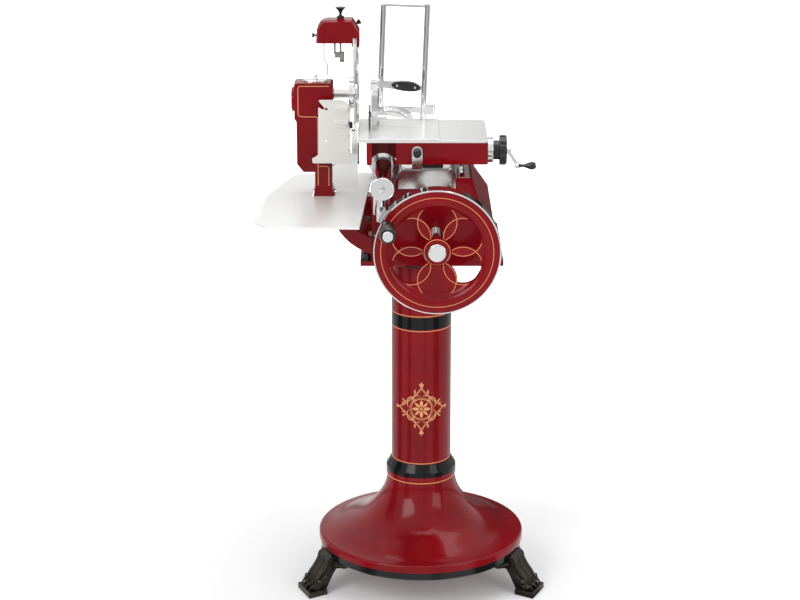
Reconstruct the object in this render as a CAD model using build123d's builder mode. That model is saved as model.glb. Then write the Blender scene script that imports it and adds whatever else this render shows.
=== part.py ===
"""Hand cranked flywheel meat slicer on its own cast pedestal.

Frame: the column's axis is the Z axis, the floor is Z = 0, the operator stands at -Y,
the blade is on the left (-X) and the feed crank on the right (+X). Lengths are in mm.
"""
import os
from math import atan2, cos, degrees, hypot, pi, radians, sin, sqrt

from build123d import *

os.makedirs("parts", exist_ok=True)

# ---------------------------------------------------------------- driving dimensions
running_gap = 0.06        # radial clearance of a shaft in its bush
working_gap = 0.3         # clearance between neighbours that move past each other
plate_gap = 0.5           # clearance beside a turning or sliding face

# pedestal
base_radius = 262.0
rim_top_z = 131.0
rim_height = 20.0
ring_height = 22.0
ring_inset = 4.0
skirt_wall = 7.0
column_radius = 75.0
column_wall = 6.0
collar_radius = 88.5
collar_z = 283.0
collar_height = 23.0
collar_taper = 20.0
column_top_z = 852.0
top_plate_radius = 105.0
top_plate_thickness = 14.0

# lion paw feet
foot_angles = (-24.0, 204.0, 90.0)
foot_tip_radius = 327.0
foot_plinth_length = 52.0
foot_plinth_width = 78.0
foot_plinth_height = 15.0
toe_count = 4
leg_width = 56.0

# machine base casting
base_front_y = -130.0
base_length = 360.0
base_wall = 9.0
base_left_x = -122.0
base_right_x = 120.0
base_shoulder_z = 1038.0
base_top_z = 1086.0
flange_height = 12.0

# flywheel and main shaft
flywheel_x = 33.0
flywheel_z = 955.0
flywheel_front_y = -330.0
flywheel_radius = 150.0
flywheel_depth = 45.0
chrome_rim = 3.4
face_width = 36.0
dish_width = 13.0
web_recess = 13.0
web_thickness = 9.0
petal_radius = 46.2
petal_distance = 70.0
petal_margin = 4.0
hub_radius = 31.0
hub_cap_radius = 21.7
main_shaft_radius = 10.0
grip_orbit = 131.0
grip_angle = 151.0
grip_radius = 19.5
grip_length = 84.0
grip_pin_radius = 5.0

# blade, its shaft and the drive housing
blade_x = -163.0
blade_y = 50.0
blade_z = 1256.0
blade_radius = 142.5
blade_thickness = 3.0
ring_inner_radius = 145.0
ring_outer_radius = 152.0
ring_width = 14.0
blade_shaft_radius = 9.0
cross_shaft_radius = 8.0
housing_front_y = 20.0
housing_depth = 60.0
housing_wall = 4.0
head_left_x = -313.0
head_right_x = -218.0
head_bottom_z = 1198.0
head_top_z = 1287.0
trunk_right_x = -245.0
trunk_bottom_z = 1064.0
foot_left_x = -264.0
foot_right_x = -221.5

# bevel gears and chain
gear_teeth = 36
pinion_teeth = 12
gear_module = 2.5
gear_face = 13.0
gear_backlash = 0.16      # share by which a tooth space is wider than a tooth
pinion_bore = 6.0
sprocket_teeth = 16
chain_pitches = 47
chain_x = -254.5

# carriage, rail and table
rail_x = -95.0
rail_z = 1098.0
rail_radius = 26.0
rail_wall = 4.0
rail_front_y = -288.0
rail_back_y = 300.0
sleeve_radius = 33.0
sleeve_front_y = -48.0
sleeve_length = 108.0
side_rail_x = 96.0
side_rail_width = 12.0
side_rail_top_z = 1098.0
roller_radius = 12.0
roller_y = 40.0
table_left_x = -154.5
table_right_x = 157.0
table_front_y = -130.0
table_back_y = 110.0
table_z = 1172.0
table_thickness = 5.0
beam_bottom_z = 1119.0
beam_left_x = -63.0
beam_back_y = -50.0
beam_wall = 6.0
lobe_left_x = -134.0
lobe_width = 13.0

# feed screw, thickness knob and feed crank
screw_y = -90.0
screw_z = 1146.0
screw_radius = 8.0
screw_neck_radius = 6.0
collar_face_radius = 30.0
collar_face_width = 14.0
knob_radius = 36.0
knob_lobes = 10
crank_throw = 39.0
crank_reach = 21.0
feed_grip_length = 41.0
feed_grip_radius = 9.6

# meat plate and press
meat_plate_right_x = 42.0
meat_plate_thickness = 3.2
plate_lift = 0.3
nut_x = -45.0
feed_travel = 75.0
rod_radius = 7.0
rod_left_x = -105.0
rod_right_x = 3.0
rod_y = 97.0
rod_length = 287.0
rod_foot_width = 1.8
rod_seat_depth = 1.6
rod_lean = 2.2
press_z = 1196.0

# tray under the blade
tray_z = 1001.0
tray_thickness = 4.0

# sharpener on top of the guard ring
cap_depth = 60.0
cap_wall = 4.0
cap_left_x = -258.0
cap_right_x = -152.5
cap_bottom_z = 1385.0
cap_side_z = 1376.0
cap_crest_z = 1442.0
push_rod_radius = 3.0


# ------------------------------------------------------------------------- planes
def facing_front(y):
    """Drawing plane at depth y: local x is X, local y is Z, extrusion comes forward."""
    return Plane(origin=(0, y, 0), x_dir=(1, 0, 0), z_dir=(0, -1, 0))


def facing_right(x):
    """Drawing plane at station x: local x is Y, local y is Z, extrusion goes right."""
    return Plane(origin=(x, 0, 0), x_dir=(0, 1, 0), z_dir=(1, 0, 0))


def across(x, y, z):
    """Plane square to X with its origin on an axis that runs along X."""
    return Plane(origin=(x, y, z), x_dir=(0, 1, 0), z_dir=(1, 0, 0))


def along_y(x, y, z):
    """Plane square to Y with its origin on an axis that runs along Y, facing back."""
    return Plane(origin=(x, y, z), x_dir=(-1, 0, 0), z_dir=(0, 1, 0))


def save(piece, name):
    """Label a finished piece and write it to its own file."""
    piece.label = name
    export_step(piece, f"parts/{name}.step")


# ================================================================== pedestal
ring_top_z = rim_top_z - rim_height
ring_bottom_z = ring_top_z - ring_height
ring_radius = base_radius - ring_inset

with BuildPart() as base_ring:
    with BuildSketch(Plane.XY.offset(ring_bottom_z)):
        Circle(ring_radius)
        Circle(ring_radius - 34, mode=Mode.SUBTRACT)
    extrude(amount=ring_height)
    chamfer(base_ring.edges().group_by(Axis.Z)[0].sort_by(SortBy.LENGTH)[-1], 4)
save(base_ring.part, "base_ring")

# trumpet shaped skirt: a shell between two flowing curves, with a rolled rim
with BuildPart() as stand_base:
    with BuildSketch(Plane.XZ):
        with BuildLine():
            Polyline((base_radius, ring_top_z), (base_radius, rim_top_z - 6))
            RadiusArc((base_radius, rim_top_z - 6), (base_radius - 7, rim_top_z), -7)
            Spline(
                (base_radius - 7, rim_top_z),
                (205, 147),
                (150, 174),
                (112, 214),
                (collar_radius - 3, collar_z),
                tangents=((-1, 0.10), (-0.10, 1)),
            )
            Polyline((collar_radius - 3, collar_z), (column_radius, collar_z))
            Spline(
                (column_radius, collar_z),
                (103, 206),
                (146, 166),
                (203, 139),
                (base_radius - 2 * skirt_wall, ring_top_z),
                tangents=((0.10, -1), (1, -0.45)),
            )
            Line((base_radius - 2 * skirt_wall, ring_top_z), (base_radius, ring_top_z))
        make_face()
    revolve(axis=Axis.Z)
save(stand_base.part, "stand_base")

with BuildPart() as stand_collar:
    with BuildSketch(Plane.XZ):
        with BuildLine():
            Polyline(
                (column_radius, collar_z),
                (collar_radius, collar_z),
                (collar_radius, collar_z + collar_height),
                (column_radius + 1.5, collar_z + collar_height + collar_taper),
                (column_radius, collar_z + collar_height + collar_taper),
                close=True,
            )
        make_face()
    revolve(axis=Axis.Z)
    fillet(stand_collar.edges().group_by(SortBy.LENGTH)[-1], 2.5)
save(stand_collar.part, "stand_collar")

with BuildPart() as stand_column:
    with BuildSketch(Plane.XY.offset(collar_z)):
        Circle(column_radius)
        Circle(column_radius - column_wall, mode=Mode.SUBTRACT)
    extrude(amount=column_top_z - collar_z)
save(stand_column.part, "stand_column")

with BuildPart() as stand_top_plate:
    with BuildSketch(Plane.XY.offset(column_top_z)):
        Circle(top_plate_radius)
    extrude(amount=top_plate_thickness)
    fillet(stand_top_plate.edges().group_by(Axis.Z)[0], 5)
    with BuildSketch(Plane.XY.offset(column_top_z)):
        Circle(column_radius - column_wall - 0.2)
    extrude(amount=-18)
    with Locations((0, 0, column_top_z + top_plate_thickness)):
        with PolarLocations(88, 6):
            CounterBoreHole(5, 8, 6)
save(stand_top_plate.part, "stand_top_plate")


def paw_foot(angle):
    """A lion's paw on its plinth, with a scrolled leg that hooks under the base ring."""
    back = foot_tip_radius - foot_plinth_length
    toe_radius = foot_plinth_width / toe_count / 2
    with BuildPart() as paw:
        with BuildSketch(Plane.XY):
            with Locations((back + foot_plinth_length / 2, 0)):
                Trapezoid(foot_plinth_width, foot_plinth_length, 83, rotation=90)
        extrude(amount=foot_plinth_height)
        chamfer(paw.edges().group_by(Axis.Z)[-1], 2)
        # toes, each a rounded finger that slopes down to the front of the plinth
        for i in range(toe_count):
            side = (i - (toe_count - 1) / 2) * (2 * toe_radius - 1.6)
            reach = 4.0 if i in (0, toe_count - 1) else 0.0
            toe_tip = foot_tip_radius - 9 - reach
            toe = Plane(
                origin=(toe_tip - 12, side, foot_plinth_height + 6),
                x_dir=(0, 1, 0),
                z_dir=(-0.86, -0.1 * side / toe_radius, 0.5),
            )
            with BuildSketch(toe):
                Circle(toe_radius - 1)
            extrude(amount=30, taper=-6)
            with Locations((toe_tip - 12, side, foot_plinth_height + 6)):
                Sphere(toe_radius - 1)
        # instep and leg
        side_plane = Plane(
            origin=(0, leg_width / 2, 0), x_dir=(1, 0, 0), z_dir=(0, -1, 0)
        )
        with BuildSketch(side_plane):
            with BuildLine():
                Spline(
                    (back + 36, foot_plinth_height - 2),
                    (back + 24, 42),
                    (back + 8, 62),
                    (ring_radius + 13, 84),
                    (ring_radius + 7, 101),
                    (ring_radius, 104),
                )
                Polyline(
                    (ring_radius, 104),
                    (ring_radius, ring_bottom_z),
                    (ring_radius - 44, ring_bottom_z),
                    (ring_radius - 44, ring_bottom_z - 7),
                )
                Spline(
                    (ring_radius - 44, ring_bottom_z - 7),
                    (ring_radius - 18, ring_bottom_z - 16),
                    (back - 14, 44),
                    (back + 2, foot_plinth_height - 2),
                )
                Line(
                    (back + 2, foot_plinth_height - 2),
                    (back + 36, foot_plinth_height - 2),
                )
            make_face()
        extrude(amount=leg_width)
        # scroll where the leg turns over below the rim
        with BuildSketch(side_plane.offset(-3)):
            with Locations((ring_radius + 3, 86)):
                Circle(12)
        extrude(amount=leg_width + 6)
    turned = paw.part.rotate(Axis.Z, angle)
    return turned


with BuildPart() as paw_feet:
    for foot_angle in foot_angles:
        add(paw_foot(foot_angle))
    with BuildSketch(Plane.XY.offset(ring_bottom_z)):
        Circle(ring_radius)
    extrude(amount=ring_height + 3, mode=Mode.SUBTRACT)
save(paw_feet.part, "paw_feet")

# ================================================================ machine base
base_bottom_z = column_top_z + top_plate_thickness
base_back_y = base_front_y + base_length


def base_outline(inset):
    """Corners of the casting's front view, drawn smaller by inset for its hollow."""
    left = base_left_x + inset
    right = base_right_x - inset
    floor = base_bottom_z + inset
    flange_z = base_bottom_z + flange_height
    corners = [
        (left, base_shoulder_z - inset),
        (left + 54, base_shoulder_z - inset),
        (left + 60, base_top_z - inset),
        (right, base_top_z - inset),
        (right + 17, base_top_z - 56),
        (right + 52, base_top_z - 105),
    ]
    if inset:
        corners += [(right + 64, floor), (left, floor)]
    else:
        corners += [
            (right + 64, flange_z + 10),
            (right + 78, flange_z),
            (right + 78, floor),
            (left - 28, floor),
            (left - 28, flange_z),
            (left, flange_z),
        ]
    return corners


with BuildPart() as machine_base:
    with BuildSketch(facing_front(base_back_y)):
        with BuildLine():
            Polyline(*base_outline(0), close=True)
        make_face()
    extrude(amount=base_length)
    fillet(machine_base.edges().filter_by(Axis.Y).group_by(Axis.Z)[-1], 8)
    with BuildSketch(facing_front(base_back_y - base_wall)):
        with BuildLine():
            Polyline(*base_outline(base_wall), close=True)
        make_face()
    extrude(amount=base_length - 2 * base_wall, mode=Mode.SUBTRACT)
    with BuildSketch(Plane.XY.offset(base_bottom_z - 1)):
        Circle(column_radius - 4)
    extrude(amount=base_wall + 3, mode=Mode.SUBTRACT)
    # front and rear shaft bosses
    with BuildSketch(facing_front(base_front_y + base_wall + 12)):
        with Locations((flywheel_x, flywheel_z)):
            Circle(27)
    extrude(amount=base_wall + 30)
    with BuildSketch(facing_front(base_back_y)):
        with Locations((flywheel_x, flywheel_z)):
            Circle(27)
    extrude(amount=base_wall + 14)
    with BuildSketch(facing_front(base_back_y + 1)):
        with Locations((flywheel_x, flywheel_z)):
            Circle(main_shaft_radius + 6)
    extrude(amount=base_length + 60, mode=Mode.SUBTRACT)
    # boss for the cross shaft in the left wall
    with BuildSketch(across(base_left_x + 1, blade_y, flywheel_z)):
        Circle(22)
    extrude(amount=base_wall + 14)
    with BuildSketch(across(base_left_x - 1, blade_y, flywheel_z)):
        Circle(cross_shaft_radius + 5)
    extrude(amount=base_wall + 40, mode=Mode.SUBTRACT)
    # rear saddle of the carriage rail
    saddle_length = 28
    with BuildSketch(facing_front(base_back_y - 6)):
        with BuildLine():
            Polyline(
                (rail_x - 20, base_shoulder_z - 2),
                (rail_x - 15, rail_z - 18),
                (rail_x + 15, rail_z - 18),
                (rail_x + 20, base_shoulder_z - 2),
                close=True,
            )
        make_face()
    extrude(amount=saddle_length)
    with BuildSketch(facing_front(base_back_y)):
        with Locations((rail_x, rail_z)):
            Circle(rail_radius)
    extrude(amount=saddle_length + 10, mode=Mode.SUBTRACT)
save(machine_base.part, "machine_base")

# stainless hood over the top and front of the casting, rounded at its upper corners
cover_left_x = rail_x + sleeve_radius + 4
cover_right_x = 80.0
cover_height = 19.0
cover_sheet = 2.0
apron_drop = 26.0
with BuildPart() as top_cover:
    with BuildSketch(facing_front(base_back_y - 20)):
        with Locations(((cover_left_x + cover_right_x) / 2, base_top_z)):
            Rectangle(
                cover_right_x - cover_left_x, cover_height, align=(Align.CENTER, Align.MIN)
            )
    extrude(amount=base_length - 17)
    fillet(top_cover.edges().filter_by(Axis.Y).group_by(Axis.Z)[-1], 13)
    offset(
        amount=-cover_sheet,
        openings=top_cover.faces().sort_by(Axis.Z)[0],
        kind=Kind.INTERSECTION,
    )
    # apron that hangs down in front of the casting
    with BuildSketch(facing_front(base_front_y)):
        with Locations(((cover_left_x + cover_right_x) / 2, base_top_z)):
            Rectangle(
                cover_right_x - cover_left_x,
                apron_drop,
                align=(Align.CENTER, Align.MAX),
            )
    extrude(amount=3)
save(top_cover.part, "top_cover")

with BuildPart() as shaft_bushes:
    for bush_y in (base_front_y + 21, base_back_y):
        with BuildSketch(facing_front(bush_y)):
            with Locations((flywheel_x, flywheel_z)):
                Circle(main_shaft_radius + 6)
                Circle(main_shaft_radius + running_gap, mode=Mode.SUBTRACT)
        extrude(amount=39 if bush_y < 0 else 23)
    with BuildSketch(across(base_left_x, blade_y, flywheel_z)):
        Circle(cross_shaft_radius + 5)
        Circle(cross_shaft_radius + running_gap, mode=Mode.SUBTRACT)
    extrude(amount=24)
save(shaft_bushes.part, "shaft_bushes")

with BuildPart() as base_knobs:
    with BuildSketch(across(base_left_x - 3, base_front_y + 12, 983)):
        Circle(5)
    extrude(amount=-10)
    fillet(base_knobs.edges().group_by(Axis.X)[0], 2)
    with BuildSketch(across(base_left_x, base_front_y + 12, 983)):
        Circle(2.8)
    extrude(amount=-4)
    # nut that clamps the flange to the stand
    with BuildSketch(Plane.XY.offset(base_bottom_z + flange_height)):
        with Locations((base_left_x - 14, base_front_y + 14)):
            Circle(11)
    extrude(amount=4)
    with BuildSketch(Plane.XY.offset(base_bottom_z + flange_height + 4)):
        with Locations((base_left_x - 14, base_front_y + 14)):
            RegularPolygon(9, 6)
    extrude(amount=13)
    chamfer(base_knobs.faces().sort_by(Axis.Z)[-8:].edges().group_by(Axis.Z)[-1], 1)
save(base_knobs.part, "base_knobs")

# --------------------------------------------------------------- carriage rails
with BuildPart() as rail_tube:
    with BuildSketch(facing_front(rail_back_y)):
        with Locations((rail_x, rail_z)):
            Circle(rail_radius)
            Circle(rail_radius - rail_wall, mode=Mode.SUBTRACT)
    extrude(amount=rail_back_y - rail_front_y)
save(rail_tube.part, "rail_tube")

with BuildPart() as rail_caps:
    for end_y, way in ((rail_front_y, 1), (rail_back_y, -1)):
        with BuildSketch(facing_front(end_y)):
            with Locations((rail_x, rail_z)):
                Circle(rail_radius + 1.5)
        extrude(amount=5 * way)
        with BuildSketch(facing_front(end_y)):
            with Locations((rail_x, rail_z)):
                Circle(rail_radius - rail_wall)
        extrude(amount=-14 * way)
    fillet(rail_caps.edges().group_by(Axis.Y)[0], 1.2)
    fillet(rail_caps.edges().group_by(Axis.Y)[-1], 1.2)
save(rail_caps.part, "rail_caps")

post_y = flywheel_front_y + flywheel_depth + 13
with BuildPart() as rail_post:
    with BuildSketch(facing_front(base_front_y)):
        with Locations((rail_x - 3, 1035)):
            RectangleRounded(21, 36, 3)
    extrude(amount=base_front_y - post_y + 10)
    with BuildSketch(facing_front(base_front_y)):
        with Locations((rail_x - 3, 1026)):
            RectangleRounded(40, 62, 6)
    extrude(amount=8)
    with BuildSketch(Plane.XY.offset(1052)):
        with Locations((rail_x - 3, post_y)):
            Circle(3.8)
    extrude(amount=rail_z - rail_radius - 1052 + 3)
    with BuildSketch(facing_front(rail_back_y)):
        with Locations((rail_x, rail_z)):
            Circle(rail_radius)
    extrude(amount=rail_back_y - rail_front_y, mode=Mode.SUBTRACT)
save(rail_post.part, "rail_post")

with BuildPart() as side_rail:
    with BuildSketch(facing_front(base_back_y - 5)):
        with Locations((side_rail_x, base_top_z)):
            Rectangle(
                side_rail_width,
                side_rail_top_z - base_top_z,
                align=(Align.CENTER, Align.MIN),
            )
    extrude(amount=base_length - 10)
    chamfer(side_rail.edges().filter_by(Axis.Y).group_by(Axis.Z)[-1], 1)
    with Locations((side_rail_x, base_front_y + base_length / 2, side_rail_top_z)):
        with GridLocations(1, 96, 1, 4):
            CounterSinkHole(2.2, 4.2)
save(side_rail.part, "side_rail")

# ========================================================== flywheel on its shaft
red_radius = flywheel_radius - chrome_rim
web_front_y = flywheel_front_y + web_recess

with BuildPart() as flywheel:
    with BuildSketch(Plane.YZ.offset(flywheel_x)):
        with BuildLine():
            Line(
                (flywheel_front_y, flywheel_z + red_radius),
                (flywheel_front_y, flywheel_z + red_radius - face_width + dish_width),
            )
            Spline(
                (flywheel_front_y, flywheel_z + red_radius - face_width + dish_width),
                (web_front_y, flywheel_z + red_radius - face_width - dish_width),
                tangents=[(0, -1), (0, -1)],
            )
            Polyline(
                (web_front_y, flywheel_z + red_radius - face_width - dish_width),
                (web_front_y, flywheel_z + hub_radius + 4),
                (flywheel_front_y + 2, flywheel_z + hub_radius - 3),
                (flywheel_front_y + 2, flywheel_z + main_shaft_radius),
                (flywheel_front_y + flywheel_depth + 14, flywheel_z + main_shaft_radius),
                (flywheel_front_y + flywheel_depth + 14, flywheel_z + hub_radius - 6),
                (web_front_y + web_thickness, flywheel_z + hub_radius),
                (web_front_y + web_thickness, flywheel_z + red_radius - face_width),
                (
                    flywheel_front_y + flywheel_depth,
                    flywheel_z + red_radius - face_width + 12,
                ),
                (flywheel_front_y + flywheel_depth, flywheel_z + red_radius),
                (flywheel_front_y, flywheel_z + red_radius),
            )
        make_face()
    revolve(axis=Axis((flywheel_x, 0, flywheel_z), (0, 1, 0)))
    # five open petals of a six petal rosette, parted by lens shaped spokes
    for petal in range(5):
        petal_angle = 90 + 60 * (petal - 2)
        with BuildSketch(facing_front(web_front_y + web_thickness + 1)):
            with Locations((flywheel_x, flywheel_z)):
                with Locations(
                    (
                        petal_distance * cos(radians(petal_angle)),
                        petal_distance * sin(radians(petal_angle)),
                    )
                ):
                    Circle(petal_radius - petal_margin)
                for side in (-60, 60):
                    beside = radians(petal_angle + side)
                    with Locations(
                        (petal_distance * cos(beside), petal_distance * sin(beside))
                    ):
                        Circle(petal_radius + petal_margin / 2, mode=Mode.SUBTRACT)
                Circle(hub_radius + 3, mode=Mode.SUBTRACT)
        extrude(amount=web_thickness + web_recess + 3, mode=Mode.SUBTRACT)
    # boss that carries the handle pin
    with BuildSketch(facing_front(flywheel_front_y + flywheel_depth - 12)):
        with Locations((flywheel_x, flywheel_z)):
            with PolarLocations(grip_orbit, 1, start_angle=grip_angle):
                Circle(grip_pin_radius + 5)
    extrude(amount=flywheel_depth - 12 - 1)
save(flywheel.part, "flywheel")

with BuildPart() as flywheel_rim:
    with BuildSketch(facing_front(flywheel_front_y + flywheel_depth)):
        with Locations((flywheel_x, flywheel_z)):
            Circle(flywheel_radius)
            Circle(red_radius, mode=Mode.SUBTRACT)
    extrude(amount=flywheel_depth)
    chamfer(flywheel_rim.edges().group_by(SortBy.LENGTH)[-1], 1.2)
save(flywheel_rim.part, "flywheel_rim")

with BuildPart() as hub_cap:
    with BuildSketch(facing_front(flywheel_front_y + 2)):
        with Locations((flywheel_x, flywheel_z)):
            Circle(hub_cap_radius)
    extrude(amount=6)
    fillet(hub_cap.edges().group_by(Axis.Y)[0], 3)
save(hub_cap.part, "hub_cap")

with BuildPart() as main_shaft:
    with BuildSketch(facing_front(base_back_y + 2)):
        with Locations((flywheel_x, flywheel_z)):
            Circle(main_shaft_radius)
    extrude(amount=base_back_y + 2 - flywheel_front_y - 2)
    # thrust collars each side of the front boss
    collar_width = 10
    front_boss_y = base_front_y - 18
    with BuildSketch(facing_front(front_boss_y - plate_gap)):
        with Locations((flywheel_x, flywheel_z)):
            Circle(main_shaft_radius + 7)
    extrude(amount=collar_width)
    with BuildSketch(facing_front(base_front_y + 21 + collar_width + plate_gap)):
        with Locations((flywheel_x, flywheel_z)):
            Circle(main_shaft_radius + 7)
    extrude(amount=collar_width)
save(main_shaft.part, "main_shaft")

grip_x = flywheel_x + grip_orbit * cos(radians(grip_angle))
grip_z = flywheel_z + grip_orbit * sin(radians(grip_angle))
grip_back_y = flywheel_front_y - 3
grip_front_y = grip_back_y - grip_length

with BuildPart() as handle_pin:
    with BuildSketch(facing_front(flywheel_front_y - 0.0)):
        with Locations((grip_x, grip_z)):
            Circle(grip_pin_radius)
    extrude(amount=grip_length + 3 + plate_gap)
    with BuildSketch(facing_front(grip_back_y + 3)):
        with Locations((grip_x, grip_z)):
            Circle(grip_pin_radius + 5)
    extrude(amount=2.5)
    with BuildSketch(facing_front(grip_front_y - plate_gap)):
        with Locations((grip_x, grip_z)):
            Circle(12.5)
    extrude(amount=4)
    fillet(handle_pin.edges().group_by(Axis.Y)[0], 1.5)
save(handle_pin.part, "handle_pin")

with BuildPart() as flywheel_grip:
    with BuildSketch(Plane.YZ.offset(grip_x)):
        with BuildLine():
            Spline(
                (grip_back_y, grip_z + grip_radius - 5),
                (grip_back_y - 12, grip_z + grip_radius - 7),
                (grip_back_y - grip_length * 0.62, grip_z + grip_radius),
                (grip_front_y, grip_z + grip_radius - 2.5),
            )
            Polyline(
                (grip_front_y, grip_z + grip_radius - 2.5),
                (grip_front_y, grip_z + grip_pin_radius + running_gap),
                (grip_back_y, grip_z + grip_pin_radius + running_gap),
                (grip_back_y, grip_z + grip_radius - 5),
            )
        make_face()
    revolve(axis=Axis((grip_x, 0, grip_z), (0, 1, 0)))
save(flywheel_grip.part, "flywheel_grip")

# ============================================================ bevel gears and shaft
gear_radius = gear_teeth * gear_module / 2
pinion_radius = pinion_teeth * gear_module / 2
cone_length = hypot(gear_radius, pinion_radius)
addendum = 0.8 * gear_module
dedendum = 1.15 * gear_module


def bevel_wheel(teeth, own_radius, mate_radius, bore, hub, web, phase):
    """Straight toothed bevel wheel, apex at the origin and axis along +Z.

    Every tooth space narrows towards the apex, so its cutter is a loft between the
    heel section and the same section shrunk to the toe.
    """
    slope = atan2(own_radius, mate_radius)
    out = Vector(cos(slope), 0, -sin(slope))
    element = Vector(sin(slope), 0, cos(slope))

    def at(distance, height):
        point = element * distance + out * height
        return (point.X, point.Z)

    toe = cone_length - gear_face
    shrink = toe / cone_length
    root = dedendum + web
    with BuildPart() as wheel:
        with BuildSketch(Plane.XZ):
            with BuildLine():
                Polyline(
                    at(cone_length, addendum),
                    at(toe, addendum * shrink),
                    at(toe, -root * shrink),
                    (bore, at(toe, -root * shrink)[1]),
                    (bore, at(cone_length, -root)[1] + 6),
                    (hub, at(cone_length, -root)[1] + 6),
                    (hub, at(cone_length, -root)[1]),
                    at(cone_length, -root),
                    close=True,
                )
            make_face()
        revolve(axis=Axis.Z)
        for tooth in range(teeth):
            angle = 360 * (tooth + phase) / teeth
            half = pi * gear_module / 4 * (1 + gear_backlash)
            with BuildPart(mode=Mode.PRIVATE) as space:
                for distance in (cone_length + 2, toe - 2):
                    scale_here = distance / cone_length
                    origin = element * distance
                    section = Plane(
                        origin=origin, x_dir=(0, 1, 0), z_dir=element
                    )
                    sense = 1 if section.y_dir.dot(out) > 0 else -1
                    top = (addendum + 1) * scale_here
                    low = -dedendum * scale_here
                    flank = 0.36
                    with BuildSketch(section):
                        with BuildLine():
                            Polyline(
                                (-(half + flank * (addendum + 1)) * scale_here, top * sense),
                                ((half + flank * (addendum + 1)) * scale_here, top * sense),
                                ((half - flank * dedendum) * scale_here, low * sense),
                                (-(half - flank * dedendum) * scale_here, low * sense),
                                close=True,
                            )
                        make_face()
                loft(ruled=True)
            add(space.part.rotate(Axis.Z, angle), mode=Mode.SUBTRACT)
    return wheel.part


gear_blank = bevel_wheel(
    gear_teeth, gear_radius, pinion_radius, main_shaft_radius, 24, 5, 0.5
)
pinion_blank = bevel_wheel(
    pinion_teeth, pinion_radius, gear_radius, pinion_bore, 9.5, 1.2, 0.0
)
gear_seat = Location(
    Plane(origin=(flywheel_x, blade_y, flywheel_z), x_dir=(-1, 0, 0), z_dir=(0, 1, 0))
)
pinion_seat = Location(
    Plane(origin=(flywheel_x, blade_y, flywheel_z), x_dir=(0, 1, 0), z_dir=(-1, 0, 0))
)
with BuildPart() as bevel_gear:
    add(gear_blank.located(gear_seat))
save(bevel_gear.part, "bevel_gear")

with BuildPart() as bevel_pinion:
    add(pinion_blank.located(pinion_seat))
save(bevel_pinion.part, "bevel_pinion")

chain_pitch = (blade_z - flywheel_z) / chain_pitches
sprocket_radius = chain_pitch / 2 / sin(pi / sprocket_teeth)
roller_size = 0.27 * chain_pitch
sprocket_width = 2.6


def sprocket_sketch():
    """Toothed disc with a round seat for every chain roller."""
    Circle(sprocket_radius + 0.9)
    with PolarLocations(sprocket_radius, sprocket_teeth):
        Circle(roller_size + 0.35, mode=Mode.SUBTRACT)


with BuildPart() as cross_shaft:
    with BuildSketch(across(chain_x - 4, blade_y, flywheel_z)):
        Circle(cross_shaft_radius)
    extrude(amount=flywheel_x - gear_radius - 9 - chain_x + 4)
    with BuildSketch(across(flywheel_x - gear_radius - 9, blade_y, flywheel_z)):
        Circle(pinion_bore)
    extrude(amount=26)
    with BuildSketch(across(chain_x - sprocket_width / 2, blade_y, flywheel_z)):
        sprocket_sketch()
    extrude(amount=sprocket_width)
save(cross_shaft.part, "cross_shaft")

# roller chain: two loops of side plate, joined by rollers on the straight lengths
plate_half = chain_pitch * 0.42
with BuildPart() as drive_chain:
    for side in (-1, 1):
        plate_x = chain_x + side * 1.9 - (0.9 if side < 0 else 0)
        with BuildSketch(across(plate_x, blade_y, (blade_z + flywheel_z) / 2)):
            SlotCenterToCenter(
                blade_z - flywheel_z, 2 * (sprocket_radius + plate_half), rotation=90
            )
            SlotCenterToCenter(
                blade_z - flywheel_z,
                2 * (sprocket_radius - plate_half),
                rotation=90,
                mode=Mode.SUBTRACT,
            )
        extrude(amount=0.9)
    roller_places = []
    for k in range(2, chain_pitches - 1):
        for way in (-1, 1):
            roller_places.append((way * sprocket_radius, k * chain_pitch))
    with BuildSketch(across(chain_x - 2, blade_y, flywheel_z)):
        with Locations(*roller_places):
            RegularPolygon(roller_size, 5)
    extrude(amount=4)
save(drive_chain.part, "drive_chain")

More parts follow.
